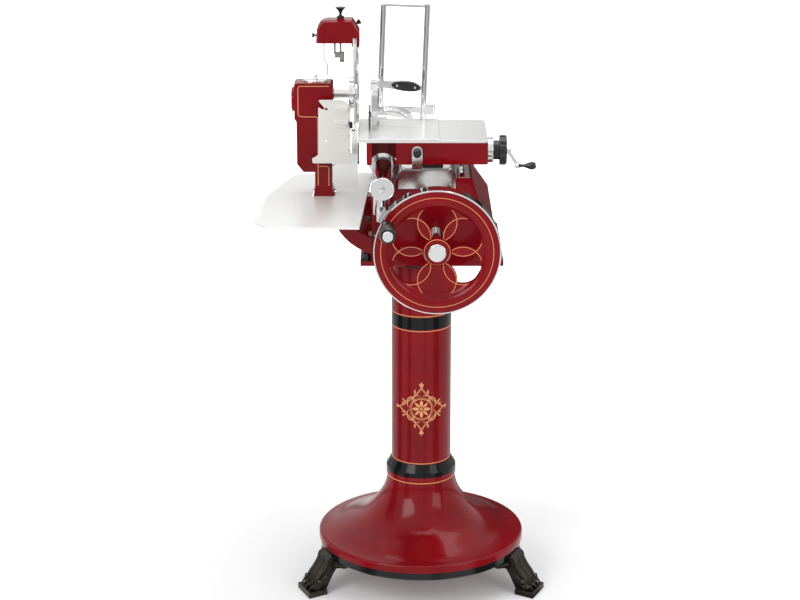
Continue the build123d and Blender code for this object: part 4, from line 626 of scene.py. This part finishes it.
def stack(levels):
    # outlines of equal length one above another, closed at both ends
    verts, faces = [], []
    count = len(levels[0])
    for level in levels:
        verts.extend(Vector(point) for point in level)
    for ring in range(len(levels) - 1):
        for step in range(count):
            after = (step + 1) % count
            base = ring * count
            faces.append((base + step, base + after, base + count + after, base + count + step))
    faces.append(tuple(range(count - 1, -1, -1)))
    faces.append(tuple(range((len(levels) - 1) * count, len(levels) * count)))
    return verts, faces


def moved(shape, matrix):
    return [matrix @ vertex for vertex in shape[0]], shape[1]


def facing(spot, direction, turn=0.0):
    # matrix that puts a shape drawn about +Z at spot, looking along direction
    look = Vector(direction).to_track_quat("Z", "Y").to_matrix().to_4x4()
    return Matrix.Translation(Vector(spot)) @ look @ Matrix.Rotation(turn, 4, "Z")


def meshOf(shapes, name):
    verts, faces = [], []
    for shapeVerts, shapeFaces in shapes:
        base = len(verts)
        verts.extend(shapeVerts)
        faces.extend(tuple(base + corner for corner in face) for face in shapeFaces)
    mesh = bpy.data.meshes.new(name)
    mesh.from_pydata([tuple(vertex) for vertex in verts], [], faces)
    mesh.update()
    return mesh


def addPiece(name, mesh, finish, body, sharp=32.0):
    work = bmesh.new()
    work.from_mesh(mesh)
    bmesh.ops.recalc_face_normals(work, faces=work.faces)
    for face in work.faces:
        face.smooth = True
    work.to_mesh(mesh)
    work.free()
    mesh.set_sharp_from_angle(angle=math.radians(sharp))
    mesh.materials.clear()
    mesh.materials.append(materials[finish])
    piece = bpy.data.objects.new(name, mesh)
    bpy.context.scene.collection.objects.link(piece)
    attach(piece, body)
    return piece


def addShapes(name, shapes, finish, body, sharp=32.0):
    return addPiece(name, meshOf(shapes, name), finish, body, sharp)


# gold lines on the housing

housingLines = {
    "faces": ((0.0200, -1), (0.080, 1)), "width": 0.0019, "radius": 0.006, "sink": 0.0004,
    "head": [
        (-0.2270, 1.2795), (-0.3035, 1.2795), (-0.3035, 1.2065), (-0.2960, 1.2035), (-0.2560, 1.2035),
        (-0.2560, 1.0300),
    ],
    "column": [(-0.2295, 1.0300), (-0.2295, 1.0790), (-0.2540, 1.0790)],
}


def buildHousingLines():
    shapes = []
    for side, sign in housingLines["faces"]:
        for key in ("head", "column"):
            corners = [Vector((x, z, 0)) for x, z in housingLines[key]]
            path = roundCorners(corners, housingLines["radius"])
            shapes.append(ribbon(
                path, [housingLines["width"]] * len(path),
                lambda u, v, h, side=side, sign=sign: (u, side + sign * h, v), sink=housingLines["sink"],
            ))
    addShapes("housingGoldLines", shapes, "goldLeaf", "frame")


buildHousingLines()


# gold ornament on the column

ornament = {
    "radius": 0.0750, "height": 0.4765, "across": 0.064, "up": 0.058, "power": 2.4,
    "rings": [(0.0265, 0.0018), (0.0300, 0.0009)], "dot": (0.0022, 0.0022),
    "petals": 8, "petal": (0.0055, 0.0235, 0.0085), "thinPetal": 0.7,
    "frames": ((1.0, 0.0019), (0.925, 0.0008)),
    # start, angle in degrees, length, turn and width
    "scrolls": (((0.0335, 0.0035), 58, 0.052, 5.2, 0.0022), ((0.0040, 0.0345), 22, 0.036, -4.6, 0.0018)),
    # start, angle in degrees and length
    "leaves": (((0.0400, 0.0165), 15, 0.014), ((0.0425, 0.0120), -12, 0.012), ((0.0160, 0.0395), 75, 0.012)),
    "leaf": (0.0042, 0.5), "tips": ((-0.5, 0.0115), (0.0, 0.015), (0.5, 0.0115)),
    "tipInset": 0.985, "tipWidths": (0.0042, 0.0036), "sideTip": 0.8,
}


def leafLine(start, angle, length, width, bend=0.0, steps=10):
    # line and widths of one pointed leaf
    path, widths = [], []
    heading = angle
    spot = Vector(start)
    for step in range(steps + 1):
        t = step / steps
        path.append(spot.copy())
        widths.append(max(width * math.sin(math.pi * min(1.0, 0.06 + 0.94 * t)) ** 0.8, 0.0003))
        heading += bend / steps
        spot += Vector((math.cos(heading), math.sin(heading))) * length / steps
    return path, widths


def scrollLine(start, angle, length, turn, width, steps=26):
    # line that curls tighter and tighter towards its end
    path, widths = [], []
    heading, spot = angle, Vector(start)
    for step in range(steps + 1):
        t = step / steps
        path.append(spot.copy())
        widths.append(width * (0.45 + 0.75 * math.sin(math.pi * min(1, 0.1 + 0.85 * t))))
        heading += turn * (0.35 + 1.9 * t * t) / steps
        spot += Vector((math.cos(heading), math.sin(heading))) * length / steps
    widths[-1] = width * 1.3
    return path, widths


def frameLine(scale, steps=96):
    # pointed outline round the ornament
    line = []
    for step in range(steps):
        angle = 2 * math.pi * step / steps
        c, s = math.cos(angle), math.sin(angle)
        line.append(Vector((
            math.copysign(abs(c) ** ornament["power"], c) * ornament["across"] * scale,
            math.copysign(abs(s) ** ornament["power"], s) * ornament["up"] * scale,
        )))
    return line


def buildOrnament():
    radius, height = ornament["radius"], ornament["height"]

    def wrap(u, v, lift):
        angle = u / radius
        return ((radius + lift) * math.sin(angle), -(radius + lift) * math.cos(angle), height + v)

    shapes = []

    def lay(line, widths, closed=False):
        shapes.append(ribbon(line, widths, wrap, closed))

    for ringRadius, width in ornament["rings"]:
        lay(circleLine(ringRadius, 72), [width] * 72, True)
    dotRadius, width = ornament["dot"]
    lay(circleLine(dotRadius, 24), [width] * 24, True)
    inner, outer, width = ornament["petal"]
    for petal in range(ornament["petals"]):
        angle = 2 * math.pi * petal / ornament["petals"]
        way = Vector((math.cos(angle), math.sin(angle)))
        broad = width if petal % 2 == 0 else width * ornament["thinPetal"]
        lay(*leafLine(way * inner, angle, outer - inner, broad))
    for scale, width in ornament["frames"]:
        line = frameLine(scale)
        lay(line, [width] * len(line), True)
    leafWidth, leafBend = ornament["leaf"]
    for sideways in (-1, 1):
        for upward in (-1, 1):
            # every quarter holds the same scrolls and leaves, mirrored
            mirror = Vector((sideways, upward))
            drawn = []
            for spot, angle, length, turn, width in ornament["scrolls"]:
                drawn.append(scrollLine(spot, math.radians(angle), length, turn, width))
            for spot, angle, length in ornament["leaves"]:
                drawn.append(leafLine(spot, math.radians(angle), length, leafWidth, leafBend))
            for line, widths in drawn:
                lay([point * mirror for point in line], widths)
    upWidth, sideWidth = ornament["tipWidths"]
    for way in (-1, 1):
        base = 0.0 if way > 0 else math.pi
        for spread, length in ornament["tips"]:
            spot = (0, way * ornament["up"] * ornament["tipInset"])
            lay(*leafLine(spot, way * math.pi / 2 + spread, length, upWidth))
            spot = (way * ornament["across"] * ornament["tipInset"], 0)
            lay(*leafLine(spot, base + spread, length * ornament["sideTip"], sideWidth))
    addShapes("columnOrnament", shapes, "goldLeaf", "frame", 80)


buildOrnament()
print("gold lines and ornament ready")


# paw feet: claws, knuckles, leaf ribs and side scrolls over the cast leg

paw = {
    "angles": (-24.0, 204.0, 90.0), "tip": 0.327, "spacing": 0.0179, "toeInset": 0.009, "outerInset": 0.004,
    # distance behind the toe's end, share of the sideways place, height
    "toe": ((0.038, 0.9, 0.0440), (0.026, 1, 0.0385), (0.014, 1, 0.0310), (0.004, 1, 0.0225)),
    "toeSwell": (0.0078, 0.0019),
    # distance behind the toe's end, height
    "claw": ((0.004, 0.0250), (-0.003, 0.0235), (-0.0066, 0.0180), (-0.0072, 0.0152)), "clawRadius": 0.0036,
    "ribs": (-0.0235, -0.012, 0.0, 0.012, 0.0235), "ribRadii": (0.0062, 0.0048), "ribSpread": 0.16,
    "front": [
        (0.3065, 0.030), (0.2985, 0.044), (0.2835, 0.062), (0.2725, 0.080), (0.2665, 0.094), (0.2600, 0.1005),
    ],
    "curl": ((0.3065, 0.0300), (0.3110, 0.0330), (0.3125, 0.0385), (0.3090, 0.0420)),
    "flank": 0.0300, "coilCentre": (0.2585, 0.0855), "coilReach": (0.0145, 0.0020),
    "coilRadii": (0.0026, 0.0018), "coilAngles": (-1.2, 3.6 * math.pi), "coilSteps": 45,
    "wingAngles": (0.085, 0.235), "wingReach": (0.2510, 0.004), "wingHeights": (0.0770, 0.0105),
    "wingSteps": 14,
    "vein": ((0.2690, 0.93, 0.0705), (0.2760, 0.93, 0.0540), (0.2850, 0.93, 0.0390), (0.2950, 0.95, 0.0240)),
    "veinRadii": (0.0034, 0.0022),
}


def toeShapes(toe):
    # three joints of a toe and the claw at its end
    side = (toe - 1.5) * paw["spacing"]
    tip = paw["tip"] - paw["toeInset"] - (paw["outerInset"] if toe in (0, 3) else 0.0)
    chain = smoothLine([(tip - behind, side * share, z) for behind, share, z in paw["toe"]], 6)
    radius, knuckle = paw["toeSwell"]
    turns = tapered(len(chain), 0.0, 4 * math.pi)
    swell = [radius + knuckle * math.cos(turn) for turn in turns]
    claw = smoothLine([(tip - behind, side, z) for behind, z in paw["claw"]], 5)
    radii = tapered(len(claw), paw["clawRadius"], paw["clawRadius"] * 0.2)
    return [sweep(chain, swell, 14), sweep(claw, radii, 10)]


def ribShapes(number, side):
    # leaf rib down the front of the leg, and its tip that curls over at the foot
    line = smoothLine([(r, 0, z) for r, z in paw["front"]], 7)
    thick = paw["ribRadii"][number % 2]
    rib, radii = [], []
    for index, point in enumerate(line):
        rib.append(Vector((point.x, side * (1.0 + paw["ribSpread"] * index / len(line)), point.z)))
        radii.append(thick * (0.55 + 0.45 * math.sin(math.pi * (0.12 + 0.80 * index / (len(line) - 1)))))
    curl = smoothLine([(r, side, z) for r, z in paw["curl"]], 5)
    return [sweep(rib, radii, 12), sweep(curl, tapered(len(curl), thick * 0.5, thick * 0.325), 10)]


def flankShapes(side):
    # scroll beside the leg, leaf wing along the underside of the ring and a vein down to the toes
    centreR, centreZ = paw["coilCentre"]
    reachStart, reachEnd = paw["coilReach"]
    angleStart, angleTurn = paw["coilAngles"]
    coil = []
    for step in range(paw["coilSteps"] + 1):
        t = step / paw["coilSteps"]
        angle = angleStart + angleTurn * t
        reach = reachStart * (1 - t) + reachEnd
        coil.append((centreR + reach * math.cos(angle), side, centreZ + reach * math.sin(angle)))
    near, span = paw["wingAngles"]
    reachBase, bulge = paw["wingReach"]
    low, rise = paw["wingHeights"]
    wing, swell = [], []
    for step in range(paw["wingSteps"] + 1):
        t = step / paw["wingSteps"]
        angle = math.copysign(near + span * t, side)
        reach = reachBase + bulge * math.sin(math.pi * t)
        wing.append((reach * math.cos(angle), reach * math.sin(angle), low + rise * t))
        swell.append(0.0105 * (1 - t) ** 0.7 + 0.0012 + 0.0012 * math.sin(9 * t))
    vein = smoothLine([(r, side * share, z) for r, share, z in paw["vein"]], 7)
    return [
        sweep(coil, tapered(len(coil), *paw["coilRadii"]), 10),
        sweep(wing, swell, 14),
        sweep(vein, tapered(len(vein), *paw["veinRadii"]), 10),
    ]


def buildPaws():
    foot = []
    for toe in range(4):
        foot += toeShapes(toe)
    for number, side in enumerate(paw["ribs"]):
        foot += ribShapes(number, side)
    for side in (-paw["flank"], paw["flank"]):
        foot += flankShapes(side)
    turns = [Matrix.Rotation(math.radians(degrees), 4, "Z") for degrees in paw["angles"]]
    shapes = [moved(shape, turn) for turn in turns for shape in foot]
    addShapes("pawCarving", shapes, "castBronze", "frame", 60)


buildPaws()
print("paws ready")


# fasteners set by one Geometry Nodes tree

def screwHead(radius):
    # slotted cheese head: a thin base and two half discs beside the slot
    shapes = [revolve([(0, 0), (radius, 0), (radius, radius * 0.26), (0, radius * 0.26)], 32)]
    gap = radius * 0.15
    start = math.asin(gap / (radius * 0.99))
    for side in (1, -1):
        outline = []
        for step in range(17):
            angle = start + (math.pi - 2 * start) * step / 16
            outline.append(Vector((math.cos(angle), side * math.sin(angle), 0)) * radius * 0.99)
        centre = Vector((0, side * radius * 0.45, 0))
        levels = []
        for height, scale in ((0.20, 1.0), (0.46, 1.0), (0.56, 0.93), (0.59, 0.80)):
            base = centre + Vector((0, 0, radius * height))
            levels.append([base + (point - centre) * scale for point in outline])
        shapes.append(stack(levels))
    return shapes


def boltHead(radius):
    # hexagon head with a chamfered crown on a washer
    washer = [(0, 0), (1.28, 0), (1.28, 0.16), (1.2, 0.22), (0, 0.22)]
    shapes = [revolve([(r * radius, z * radius) for r, z in washer], 36)]
    corners = [corner.to_3d() for corner in circleLine(radius, 6)]
    levels = []
    for height, scale in ((0.18, 1.0), (0.82, 1.0), (0.92, 0.92), (0.94, 0.80)):
        levels.append([corner * scale + Vector((0, 0, radius * height)) for corner in corners])
    shapes.append(stack(levels))
    return shapes


def buildPlacer():
    tree = bpy.data.node_groups.new("fastenersOnPoints", "GeometryNodeTree")
    tree.is_modifier = True
    for label, kind in (("Points", "Geometry"), ("Head", "Object"), ("Finish", "Material"), ("Seed", "Int")):
        tree.interface.new_socket(name=label, in_out="INPUT", socket_type="NodeSocket" + kind)
    tree.interface.new_socket(name="Fasteners", in_out="OUTPUT", socket_type="NodeSocketGeometry")
    entry = tree.nodes.new("NodeGroupInput")
    leave = tree.nodes.new("NodeGroupOutput")
    head = place(tree, "GeometryNodeObjectInfo", transform_space="ORIGINAL")
    feed(tree, head.inputs["Object"], entry.outputs["Head"])
    look = place(tree, "GeometryNodeInputNamedAttribute", data_type="FLOAT_VECTOR")
    look.inputs["Name"].default_value = "facing"
    size = place(tree, "GeometryNodeInputNamedAttribute", data_type="FLOAT")
    size.inputs["Name"].default_value = "size"
    align = place(tree, "FunctionNodeAlignRotationToVector", axis="Z")
    feed(tree, align.inputs["Vector"], look.outputs["Attribute"])
    roll = place(tree, "FunctionNodeRandomValue", data_type="FLOAT")
    roll.inputs[2].default_value = 0.0
    roll.inputs[3].default_value = math.pi
    feed(tree, roll.inputs["Seed"], entry.outputs["Seed"])
    spin = place(tree, "FunctionNodeAxisAngleToRotation")
    spin.inputs["Axis"].default_value = (0, 0, 1)
    feed(tree, spin.inputs["Angle"], roll.outputs[1])
    turn = place(tree, "FunctionNodeRotateRotation", rotation_space="LOCAL")
    feed(tree, turn.inputs["Rotation"], align.outputs[0])
    feed(tree, turn.inputs["Rotate By"], spin.outputs[0])
    spread = place(tree, "GeometryNodeInstanceOnPoints")
    feed(tree, spread.inputs["Points"], entry.outputs["Points"])
    feed(tree, spread.inputs["Instance"], head.outputs["Geometry"])
    feed(tree, spread.inputs["Rotation"], turn.outputs[0])
    feed(tree, spread.inputs["Scale"], size.outputs["Attribute"])
    real = place(tree, "GeometryNodeRealizeInstances")
    feed(tree, real.inputs[0], spread.outputs[0])
    paint = place(tree, "GeometryNodeSetMaterial")
    feed(tree, paint.inputs["Geometry"], real.outputs[0])
    feed(tree, paint.inputs["Material"], entry.outputs["Finish"])
    feed(tree, leave.inputs[0], paint.outputs[0])
    return tree


placer = buildPlacer()
placerSockets = {item.name: item.identifier for item in placer.interface.items_tree if item.in_out == "INPUT"}
heads = {}
for kind, shapes in (("screw", screwHead(1.0)), ("bolt", boltHead(1.0))):
    headMesh = meshOf(shapes, kind + "Head")
    headObject = bpy.data.objects.new(kind + "Head", headMesh)
    bpy.context.scene.collection.objects.link(headObject)
    heads[kind] = headObject


def setFasteners(name, kind, spots, finish, body):
    # spots: (place, direction, radius)
    carrier = bpy.data.meshes.new(name + "Points")
    carrier.from_pydata([spot for spot, direction, radius in spots], [], [])
    carrier.attributes.new("facing", "FLOAT_VECTOR", "POINT")
    carrier.attributes.new("size", "FLOAT", "POINT")
    # read back by name, because adding the second one moves the first
    look, size = carrier.attributes["facing"], carrier.attributes["size"]
    for index, (spot, direction, radius) in enumerate(spots):
        look.data[index].vector = direction
        size.data[index].value = radius
    holder = bpy.data.objects.new(name + "Points", carrier)
    bpy.context.scene.collection.objects.link(holder)
    modifier = holder.modifiers.new("place", "NODES")
    modifier.node_group = placer
    modifier[placerSockets["Head"]] = heads[kind]
    modifier[placerSockets["Finish"]] = materials[finish]
    modifier[placerSockets["Seed"]] = 11
    bpy.context.view_layer.update()
    ready = holder.evaluated_get(bpy.context.evaluated_depsgraph_get())
    mesh = bpy.data.meshes.new_from_object(ready)
    mesh.name = name
    holder.modifiers.remove(modifier)
    bpy.data.objects.remove(holder)
    addPiece(name, mesh, finish, body, 30)


left, front, back, up = (-1, 0, 0), (0, -1, 0), (0, 1, 0), (0, 0, 1)


def ringOf(x, centre, radius, angles, size):
    # fasteners that look left, in a ring about (y, z)
    spots = []
    for angle in angles:
        turn = math.radians(angle)
        y, z = centre[0] + radius * math.cos(turn), centre[1] + radius * math.sin(turn)
        spots.append(((x, y, z), left, size))
    return spots


def gridOf(xs, ys, zs, direction, size):
    return [((x, y, z), direction, size) for x in xs for y in ys for z in zs]


def alongHandle(y, direction):
    # on the axis of the leaning press handle
    return [((-0.039 + way * 0.0218, y, 1.2815 - way * 0.0027), direction, 0.0028) for way in (-1, 1)]


fastenerRows = {
    "sideCoverScrews": (
        "screw", ringOf(-0.3200, (0.050, 1.242), 0.022, (45, 135, 225, 315), 0.0032),
        "chrome", "frame", "chrome",
    ),
    "hoodScrews": (
        "screw", gridOf((-0.046, 0.066), (-0.112, 0.04, 0.188), (1.1050,), up, 0.0038)
        + gridOf((-0.046, 0.068), (-0.1330,), (1.070,), front, 0.0036),
        "polishedSteel", "frame", "polished_steel",
    ),
    "flangeBolts": (
        "bolt", gridOf((-0.137,), (-0.02, 0.09, 0.20), (0.8780,), up, 0.0065),
        "chrome", "frame", "chrome",
    ),
    "railCapScrews": (
        "screw", gridOf((-0.095,), (-0.2930,), (1.098,), front, 0.0078)
        + gridOf((-0.095,), (0.3050,), (1.098,), back, 0.0078),
        "chrome", "frame", "chrome",
    ),
    "scaleScrews": (
        "screw", alongHandle(0.0060, front) + alongHandle(0.0230, back),
        "chrome", "press", "chrome",
    ),
    "toothedPlateScrews": (
        "screw", gridOf((-0.1300,), (-0.026, 0.026), (1.212,), left, 0.0030),
        "chrome", "press", "chrome",
    ),
    "collarSetScrew": (
        "screw", gridOf((0.164,), (-0.090,), (1.1760,), up, 0.0030),
        "chrome", "carriage", "chrome",
    ),
    "baseBackScrews": (
        "screw", gridOf((-0.100, 0.096), (0.2300,), (0.900, 1.030), back, 0.0044),
        "chrome", "frame", "chrome",
    ),
    "bladeBolts": (
        "screw", ringOf(-0.1650, (0.050, 1.256), 0.046, (20, 140, 260), 0.0036),
        "chrome", "blade_unit", "chrome",
    ),
}
for name, (kind, spots, finish, body, slotName) in fastenerRows.items():
    setFasteners(name, kind, spots, finish, body)
for headObject in heads.values():
    bpy.data.objects.remove(headObject)
print("fasteners ready:", sum(len(row[1]) for row in fastenerRows.values()))


# louvres pressed out of the deflector

louvres = {
    "left": -0.2125, "right": -0.1800, "levels": (1.2290, 1.1950), "rise": 0.0015,
    "half": 0.0092, "nose": 0.0058, "middle": -0.0066, "flatness": 0.42, "steps": 14,
}


def buildLouvres():
    middle, nose = louvres["middle"], louvres["nose"]
    shapes = []
    for level in louvres["levels"]:
        line, radii = [], []
        for step in range(louvres["steps"] + 1):
            t = step / louvres["steps"]
            across = louvres["left"] + (louvres["right"] - louvres["left"]) * t
            line.append((across, middle, level + louvres["rise"] * (1 - t)))
            radii.append(nose + (louvres["half"] - nose) * math.sin(t * math.pi / 2) ** 0.8)
        shapes.append(flattened(sweep(line, radii, 24), middle, louvres["flatness"]))
    addShapes("deflectorLouvres", shapes, "paleEnamel", "frame", 50)


buildLouvres()
print("louvres ready")


# small clip and screws at the deflector's edge

deflectorTrim = {
    "clip": (-0.1775, -0.1690, 1.1815, 1.1975),
    "levels": ((-0.0081, 0.0), (-0.01155, 0.0), (-0.014586, 0.0006), (-0.0150, 0.0018)),
    "screws": (1.125, 1.163), "side": -0.1805, "face": -0.0081, "radius": 0.0030, "turn": 0.6,
}


def buildDeflectorTrim():
    low, high = Vector(deflectorTrim["clip"][0::2]), Vector(deflectorTrim["clip"][1::2])
    levels = []
    for depth, inset in deflectorTrim["levels"]:
        x0, z0, x1, z1 = low.x + inset, low.y + inset, high.x - inset, high.y - inset
        levels.append([Vector((x, depth, z)) for x, z in ((x0, z0), (x1, z0), (x1, z1), (x0, z1))])
    shapes = [stack(levels)]
    for level in deflectorTrim["screws"]:
        stand = facing((deflectorTrim["side"], deflectorTrim["face"], level), front, deflectorTrim["turn"])
        shapes.extend(moved(shape, stand) for shape in screwHead(deflectorTrim["radius"]))
    piece = addShapes("deflectorTrim", shapes, "fittings", "frame", 30)
    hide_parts("deflector_fittings")


buildDeflectorTrim()


# wing of the clamp lever

leverWing = {
    "line": [(-0.0935, 1.2165), (-0.0760, 1.2170), (-0.0580, 1.2135), (-0.0420, 1.2060), (-0.0290, 1.1975)],
    "swell": (0.0055, 0.0085, 0.0088, 0.0062, 0.0022), "middle": 0.020, "flatness": 0.62, "steps": 6,
}


def buildLeverWing():
    middle, swell, steps = leverWing["middle"], leverWing["swell"], leverWing["steps"]
    line = smoothLine([(x, middle, z) for x, z in leverWing["line"]], steps)
    radii = []
    for index in range(len(line)):
        low = min(index // steps, len(swell) - 2)
        radii.append(swell[low] + (swell[low + 1] - swell[low]) * (index / steps - low))
    wing = flattened(sweep(line, radii, 20), middle, leverWing["flatness"])
    addShapes("leverWing", [wing], "chrome", "clamp_lever", 60)


buildLeverWing()
print("trim ready")


# floor, light and camera

studio = {
    "floorSize": 60.0, "floorTone": (0.86, 0.86, 0.86, 1), "floorShade": (0.85, 0.85, 0.85, 1),
    "floorLift": (0.10, 1.0), "fade": (0.55, 1.9),
    "worldTone": (1, 1, 1, 1), "worldLevel": 0.62,
    # heights of the mirrored world and the levels there
    "horizon": (0.01, 0.11, 0.16, 1.0), "ceiling": (0.55, 0.85, 0.0, 1.0),
    "mirrorFront": 0.88, "mirrorBack": 0.95, "floorFront": 0.78, "floorBack": 0.85,
    "camera": (-0.0537, -5.1067, 2.3013), "pitch": 17.0, "lens": 95.85,
    # name, place, target, width, height, power
    "lamps": [
        ("keyLamp", (-2.6, -3.2, 3.4), (0.0, 0.0, 0.9), 2.2, 2.6, 95),
        ("fillLamp", (3.2, -2.8, 2.2), (0.0, 0.0, 0.8), 1.8, 2.8, 45),
        ("topLamp", (0.2, 0.6, 4.2), (0.0, 0.0, 0.8), 3.0, 3.0, 60),
    ],
}


def buildFloor():
    mesh = bpy.data.meshes.new("floor")
    half = studio["floorSize"] / 2
    corners = [(-half, -half, 0), (half, -half, 0), (half, half, 0), (-half, half, 0)]
    mesh.from_pydata(corners, [], [(0, 1, 2, 3)])
    floor = bpy.data.objects.new("floor", mesh)
    bpy.context.scene.collection.objects.link(floor)
    material, tree, shader, coords = newMaterial("floorWhite")
    path = place(tree, "ShaderNodeLightPath").outputs
    plain = mixColor(tree, noise(tree, coords, 0.8, 2.0), studio["floorShade"], studio["floorTone"])
    # plated parts see the floor as bright panels with dark gaps
    sides = {"Front": studio["floorFront"], "Back": studio["floorBack"]}
    panels = useGroup(tree, studioPanels, Vector=coords, **sides)["Level"]
    tone = place(tree, "ShaderNodeCombineColor")
    for channel in range(3):
        feed(tree, tone.inputs[channel], panels)
    feed(tree, shader.inputs["Base Color"], mixColor(tree, path["Is Glossy Ray"], plain, tone.outputs[0]))
    shader.inputs["Roughness"].default_value = 0.75
    # away from the shadow the floor fades into the white backdrop, for the camera only
    away = vectorCalc(tree, "LENGTH", coords)
    lift = remap(tree, away, *studio["fade"], *studio["floorLift"])
    shader.inputs["Emission Color"].default_value = (1, 1, 1, 1)
    feed(tree, shader.inputs["Emission Strength"], calc(tree, "MULTIPLY", path["Is Camera Ray"], lift))
    mesh.materials.append(material)


def buildWorld():
    world = bpy.data.worlds.new("studio")
    bpy.context.scene.world = world
    world.use_nodes = True
    tree = world.node_tree
    background = tree.nodes["Background"]
    background.inputs["Color"].default_value = studio["worldTone"]
    path = place(tree, "ShaderNodeLightPath").outputs
    seen = calc(tree, "ADD", path["Is Camera Ray"], path["Is Transmission Ray"], clamp=True)
    level = mixValue(tree, seen, studio["worldLevel"], 1.0)
    way = place(tree, "ShaderNodeTexCoord").outputs["Generated"]
    height = split(tree, way)[2]
    sides = {"Front": studio["mirrorFront"], "Back": studio["mirrorBack"]}
    panels = useGroup(tree, studioPanels, Vector=way, **sides)["Level"]
    above = remap(tree, height, *studio["ceiling"])
    mirrored = mixValue(tree, above, panels, studio["mirrorBack"])
    # dark line of the horizon, which draws the edges of plated rods and levers
    horizon = remap(tree, height, *studio["horizon"])
    mirrored = calc(tree, "MULTIPLY", mirrored, horizon)
    feed(tree, background.inputs["Strength"], mixValue(tree, path["Is Glossy Ray"], level, mirrored))


def buildLamps():
    for name, spot, target, width, height, power in studio["lamps"]:
        light = bpy.data.lights.new(name, "AREA")
        light.shape = "RECTANGLE"
        light.size, light.size_y, light.energy = width, height, power
        lamp = bpy.data.objects.new(name, light)
        lamp.location = spot
        lamp.rotation_euler = (Vector(target) - Vector(spot)).to_track_quat("-Z", "Y").to_euler()
        bpy.context.scene.collection.objects.link(lamp)


def buildCamera():
    cameraData = bpy.data.cameras.new("camera")
    cameraData.lens = studio["lens"]
    cameraData.sensor_width = 36.0
    camera = bpy.data.objects.new("camera", cameraData)
    camera.location = studio["camera"]
    camera.rotation_euler = (math.radians(90 - studio["pitch"]), 0, 0)
    bpy.context.scene.collection.objects.link(camera)
    bpy.context.scene.camera = camera
    bpy.context.scene.view_settings.view_transform = "Standard"


buildFloor()
buildWorld()
buildLamps()
buildCamera()
print("studio ready")
